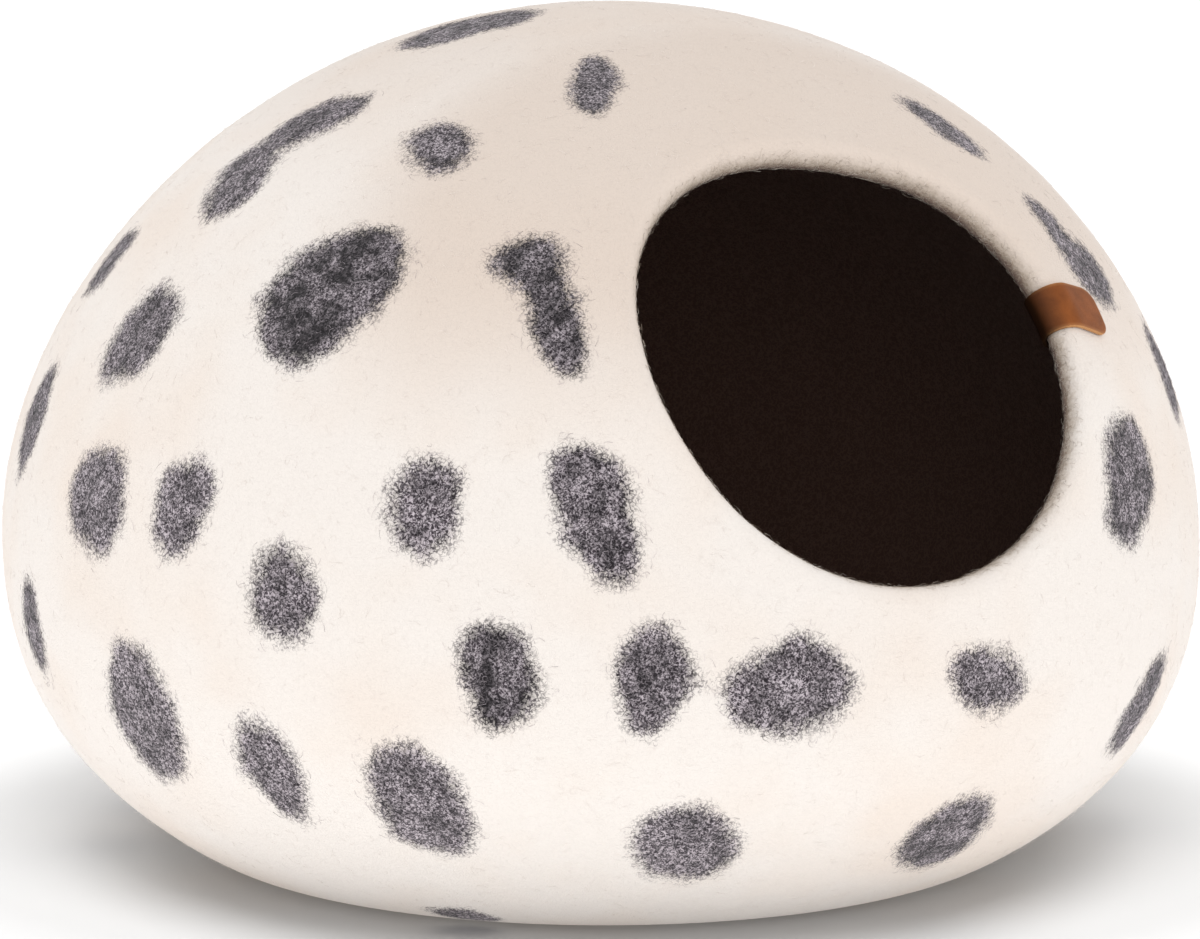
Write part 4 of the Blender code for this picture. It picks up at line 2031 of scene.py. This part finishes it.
    def wear(self, station: Station, across: np.ndarray) -> np.ndarray:
        """Work out how far the leather is rubbed pale beside its cut edges.

        Args:
            station: the cross-section.
            across: each point's place across the strip.

        Returns:
            A share for each point, none of it further than the rubbed width from an edge.
        """
        from_end = self.outer_leg - station.value if station.leg is Leg.OUTER else self.outer_leg
        nearest = np.minimum(station.half_width - np.abs(across), from_end)
        return self.most_rubbed * np.clip(1 - nearest / self.rubbed_width, 0.0, 1.0)

    def faces(self, row_count: int, ring_count: int) -> list[tuple[int, ...]]:
        """List the strip's faces, with one at each end.

        Args:
            row_count: how many cross-sections there are.
            ring_count: how many points each has.

        Returns:
            The vertex numbers of each face.
        """
        faces = []
        for row in range(row_count - 1):
            here, there = row * ring_count, (row + 1) * ring_count
            for point in range(ring_count):
                after = (point + 1) % ring_count
                faces.append((here + point, here + after, there + after, there + point))
        last = (row_count - 1) * ring_count
        faces.append(tuple(range(ring_count))[::-1])
        faces.append(tuple(last + point for point in range(ring_count)))
        return faces

    def build(self, finish: LeatherFinish) -> bpy.types.Object:
        """Make the tab.

        Args:
            finish: the leather.

        Returns:
            The finished piece.
        """
        across, offset, edge = self.ring()
        middle = self.gap + self.thickness / 2
        rows, edges, bends = [], [], []
        for station in self.stations():
            thin = 1 - 2 * station.shrink / self.thickness
            inner_half = self.width / 2 - self.edge_round
            inset = np.clip(across, -inner_half, inner_half)
            narrowed = inset * (station.half_width - self.edge_round) / inner_half
            narrowed += (across - inset) * thin
            rows.append(self.place(station.leg, station.value, narrowed, middle + (offset - middle) * thin))
            at_end = station.shrink > self.end_share * self.edge_round
            raw_edge = np.ones(len(across)) if at_end else edge
            edges.append(np.maximum(raw_edge, self.wear(station, narrowed)))
            # burnish and painted shade of each section
            bends.append(np.full(len(across), self.bend(station)))
        faces = self.faces(len(rows), len(across))
        mesh = mesh_from("leather_tab_strip", np.concatenate(rows), faces)
        set_attribute(mesh, CUT_EDGE, np.concatenate(edges))
        set_attribute(mesh, BURNISH_AND_SHADE, np.concatenate(bends))
        mesh.materials.append(finish.material())
        return add_piece("leather_tab_strip", mesh)


# ---------------------------------------------------------------- studio


class Lit(Enum):
    """What a studio light falls on."""

    ALL = "all"
    FLOOR = "the floor, where the object throws its shadow"
    OBJECT = "the object, through the floor, as a glowing table would"


@dataclass(frozen=True)
class SoftLight:
    """A distant soft light, whose spread is how wide it looks from the object."""

    name: str
    azimuth_deg: float
    elevation_deg: float
    strength: float
    spread_deg: float
    lit: Lit = Lit.ALL


@dataclass
class Studio:
    """A plain pale floor under soft light from all around.

    Three lights that only the floor takes brighten it to white, so that its shadow shows as a soft
    crescent under the shell. A glow from below, as of a lighted table, brightens the shell's underside.
    """

    sky: float = 1.015
    floor_half: float = 14.0
    lights: tuple[SoftLight, ...] = (
        SoftLight("front_light", -25, 20, 0.40, 40),
        SoftLight("left_fill", -105, 12, 0.40, 30),
        SoftLight("right_fill", 45, 12, 0.30, 30),
        SoftLight("front_floor_light", -30, 64, 1.8, 34, Lit.FLOOR),
        SoftLight("left_floor_light", -130, 64, 1.8, 34, Lit.FLOOR),
        SoftLight("right_floor_light", 70, 64, 1.8, 34, Lit.FLOOR),
        SoftLight("table_glow", 0, -89, 1.0, 40, Lit.OBJECT),
    )

    def build(self, middle: np.ndarray, pieces: list[bpy.types.Object]) -> None:
        """Make the floor, the sky and the lights.

        Args:
            middle: what the lights face.
            pieces: the object's pieces.
        """
        lit_object = bpy.data.collections.new("lit_object")
        for piece in pieces:
            lit_object.objects.link(piece)
        lit_floor = bpy.data.collections.new("lit_floor")
        lit_floor.objects.link(self.floor())
        world = bpy.data.worlds.new("soft_white_sky")
        world.use_nodes = True
        sky = world.node_tree.nodes["Background"]
        sky.inputs["Color"].default_value = (1.0, 1.0, 1.0, 1.0)
        sky.inputs["Strength"].default_value = self.sky
        bpy.context.scene.world = world
        for row in self.lights:
            light = self.light(row, middle)
            if row.lit is Lit.FLOOR:
                light.light_linking.receiver_collection = lit_floor
            if row.lit is Lit.OBJECT:
                light.light_linking.receiver_collection = lit_object
                light.light_linking.blocker_collection = lit_object
        bpy.context.scene.view_settings.view_transform = "Standard"

    def floor(self) -> bpy.types.Object:
        """Make the floor.

        Returns:
            The floor.
        """
        half = self.floor_half
        corners = np.array(((-half, -half, 0.0), (half, -half, 0.0), (half, half, 0.0), (-half, half, 0.0)))
        mesh = mesh_from("studio_floor", corners, [(0, 1, 2, 3)])
        mesh.materials.append(FloorFinish().material())
        floor = add_piece("studio_floor", mesh)
        return floor

    def light(self, row: SoftLight, middle: np.ndarray) -> bpy.types.Object:
        """Make one light, which shines on everything.

        Args:
            row: its angles, strength and softness.
            middle: what it faces.

        Returns:
            The light.
        """
        data = bpy.data.lights.new(row.name, "SUN")
        data.energy = row.strength
        data.angle = math.radians(row.spread_deg)
        light = bpy.data.objects.new(row.name, data)
        towards = Vector(direction(row.azimuth_deg, row.elevation_deg))
        light.location = Vector(middle) + towards
        light.rotation_euler = towards.to_track_quat("Z", "Y").to_euler()
        bpy.context.scene.collection.objects.link(light)
        return light


def report(piece: bpy.types.Object) -> None:
    """Log a piece's triangles."""
    triangles = sum(len(face.vertices) - 2 for face in piece.data.polygons)
    log.info("%s: %d triangles", piece.name, triangles)


def main() -> None:
    """Load the frame, build every piece around it, hang the pieces on the root and hide the parts that they
    replace.
    """
    logging.basicConfig(level=logging.INFO, format="%(name)s: %(message)s")
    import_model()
    low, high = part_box(SHELL_NODE)
    skin = Skin(width=high.x - low.x)
    camera = PhotoCamera()
    camera.place(skin.waist())

    shell = FeltShell(skin, SpotPattern(skin, camera)).build(FeltFinish())
    report(shell)
    tab_maker = LeatherTab(skin)
    tab = tab_maker.build(LeatherFinish())
    report(tab)
    strands = LooseWool().build(shell)
    for piece in strands:
        report(piece)
        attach(piece, "root")
    Studio().build(skin.waist(), [shell, tab, *strands])

    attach(shell, "root")
    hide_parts(SHELL_NODE)
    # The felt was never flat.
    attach(tab, "root")
    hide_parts(TAB_NODE)
    tab_maker.length()


if __name__ == "__main__":
    main()
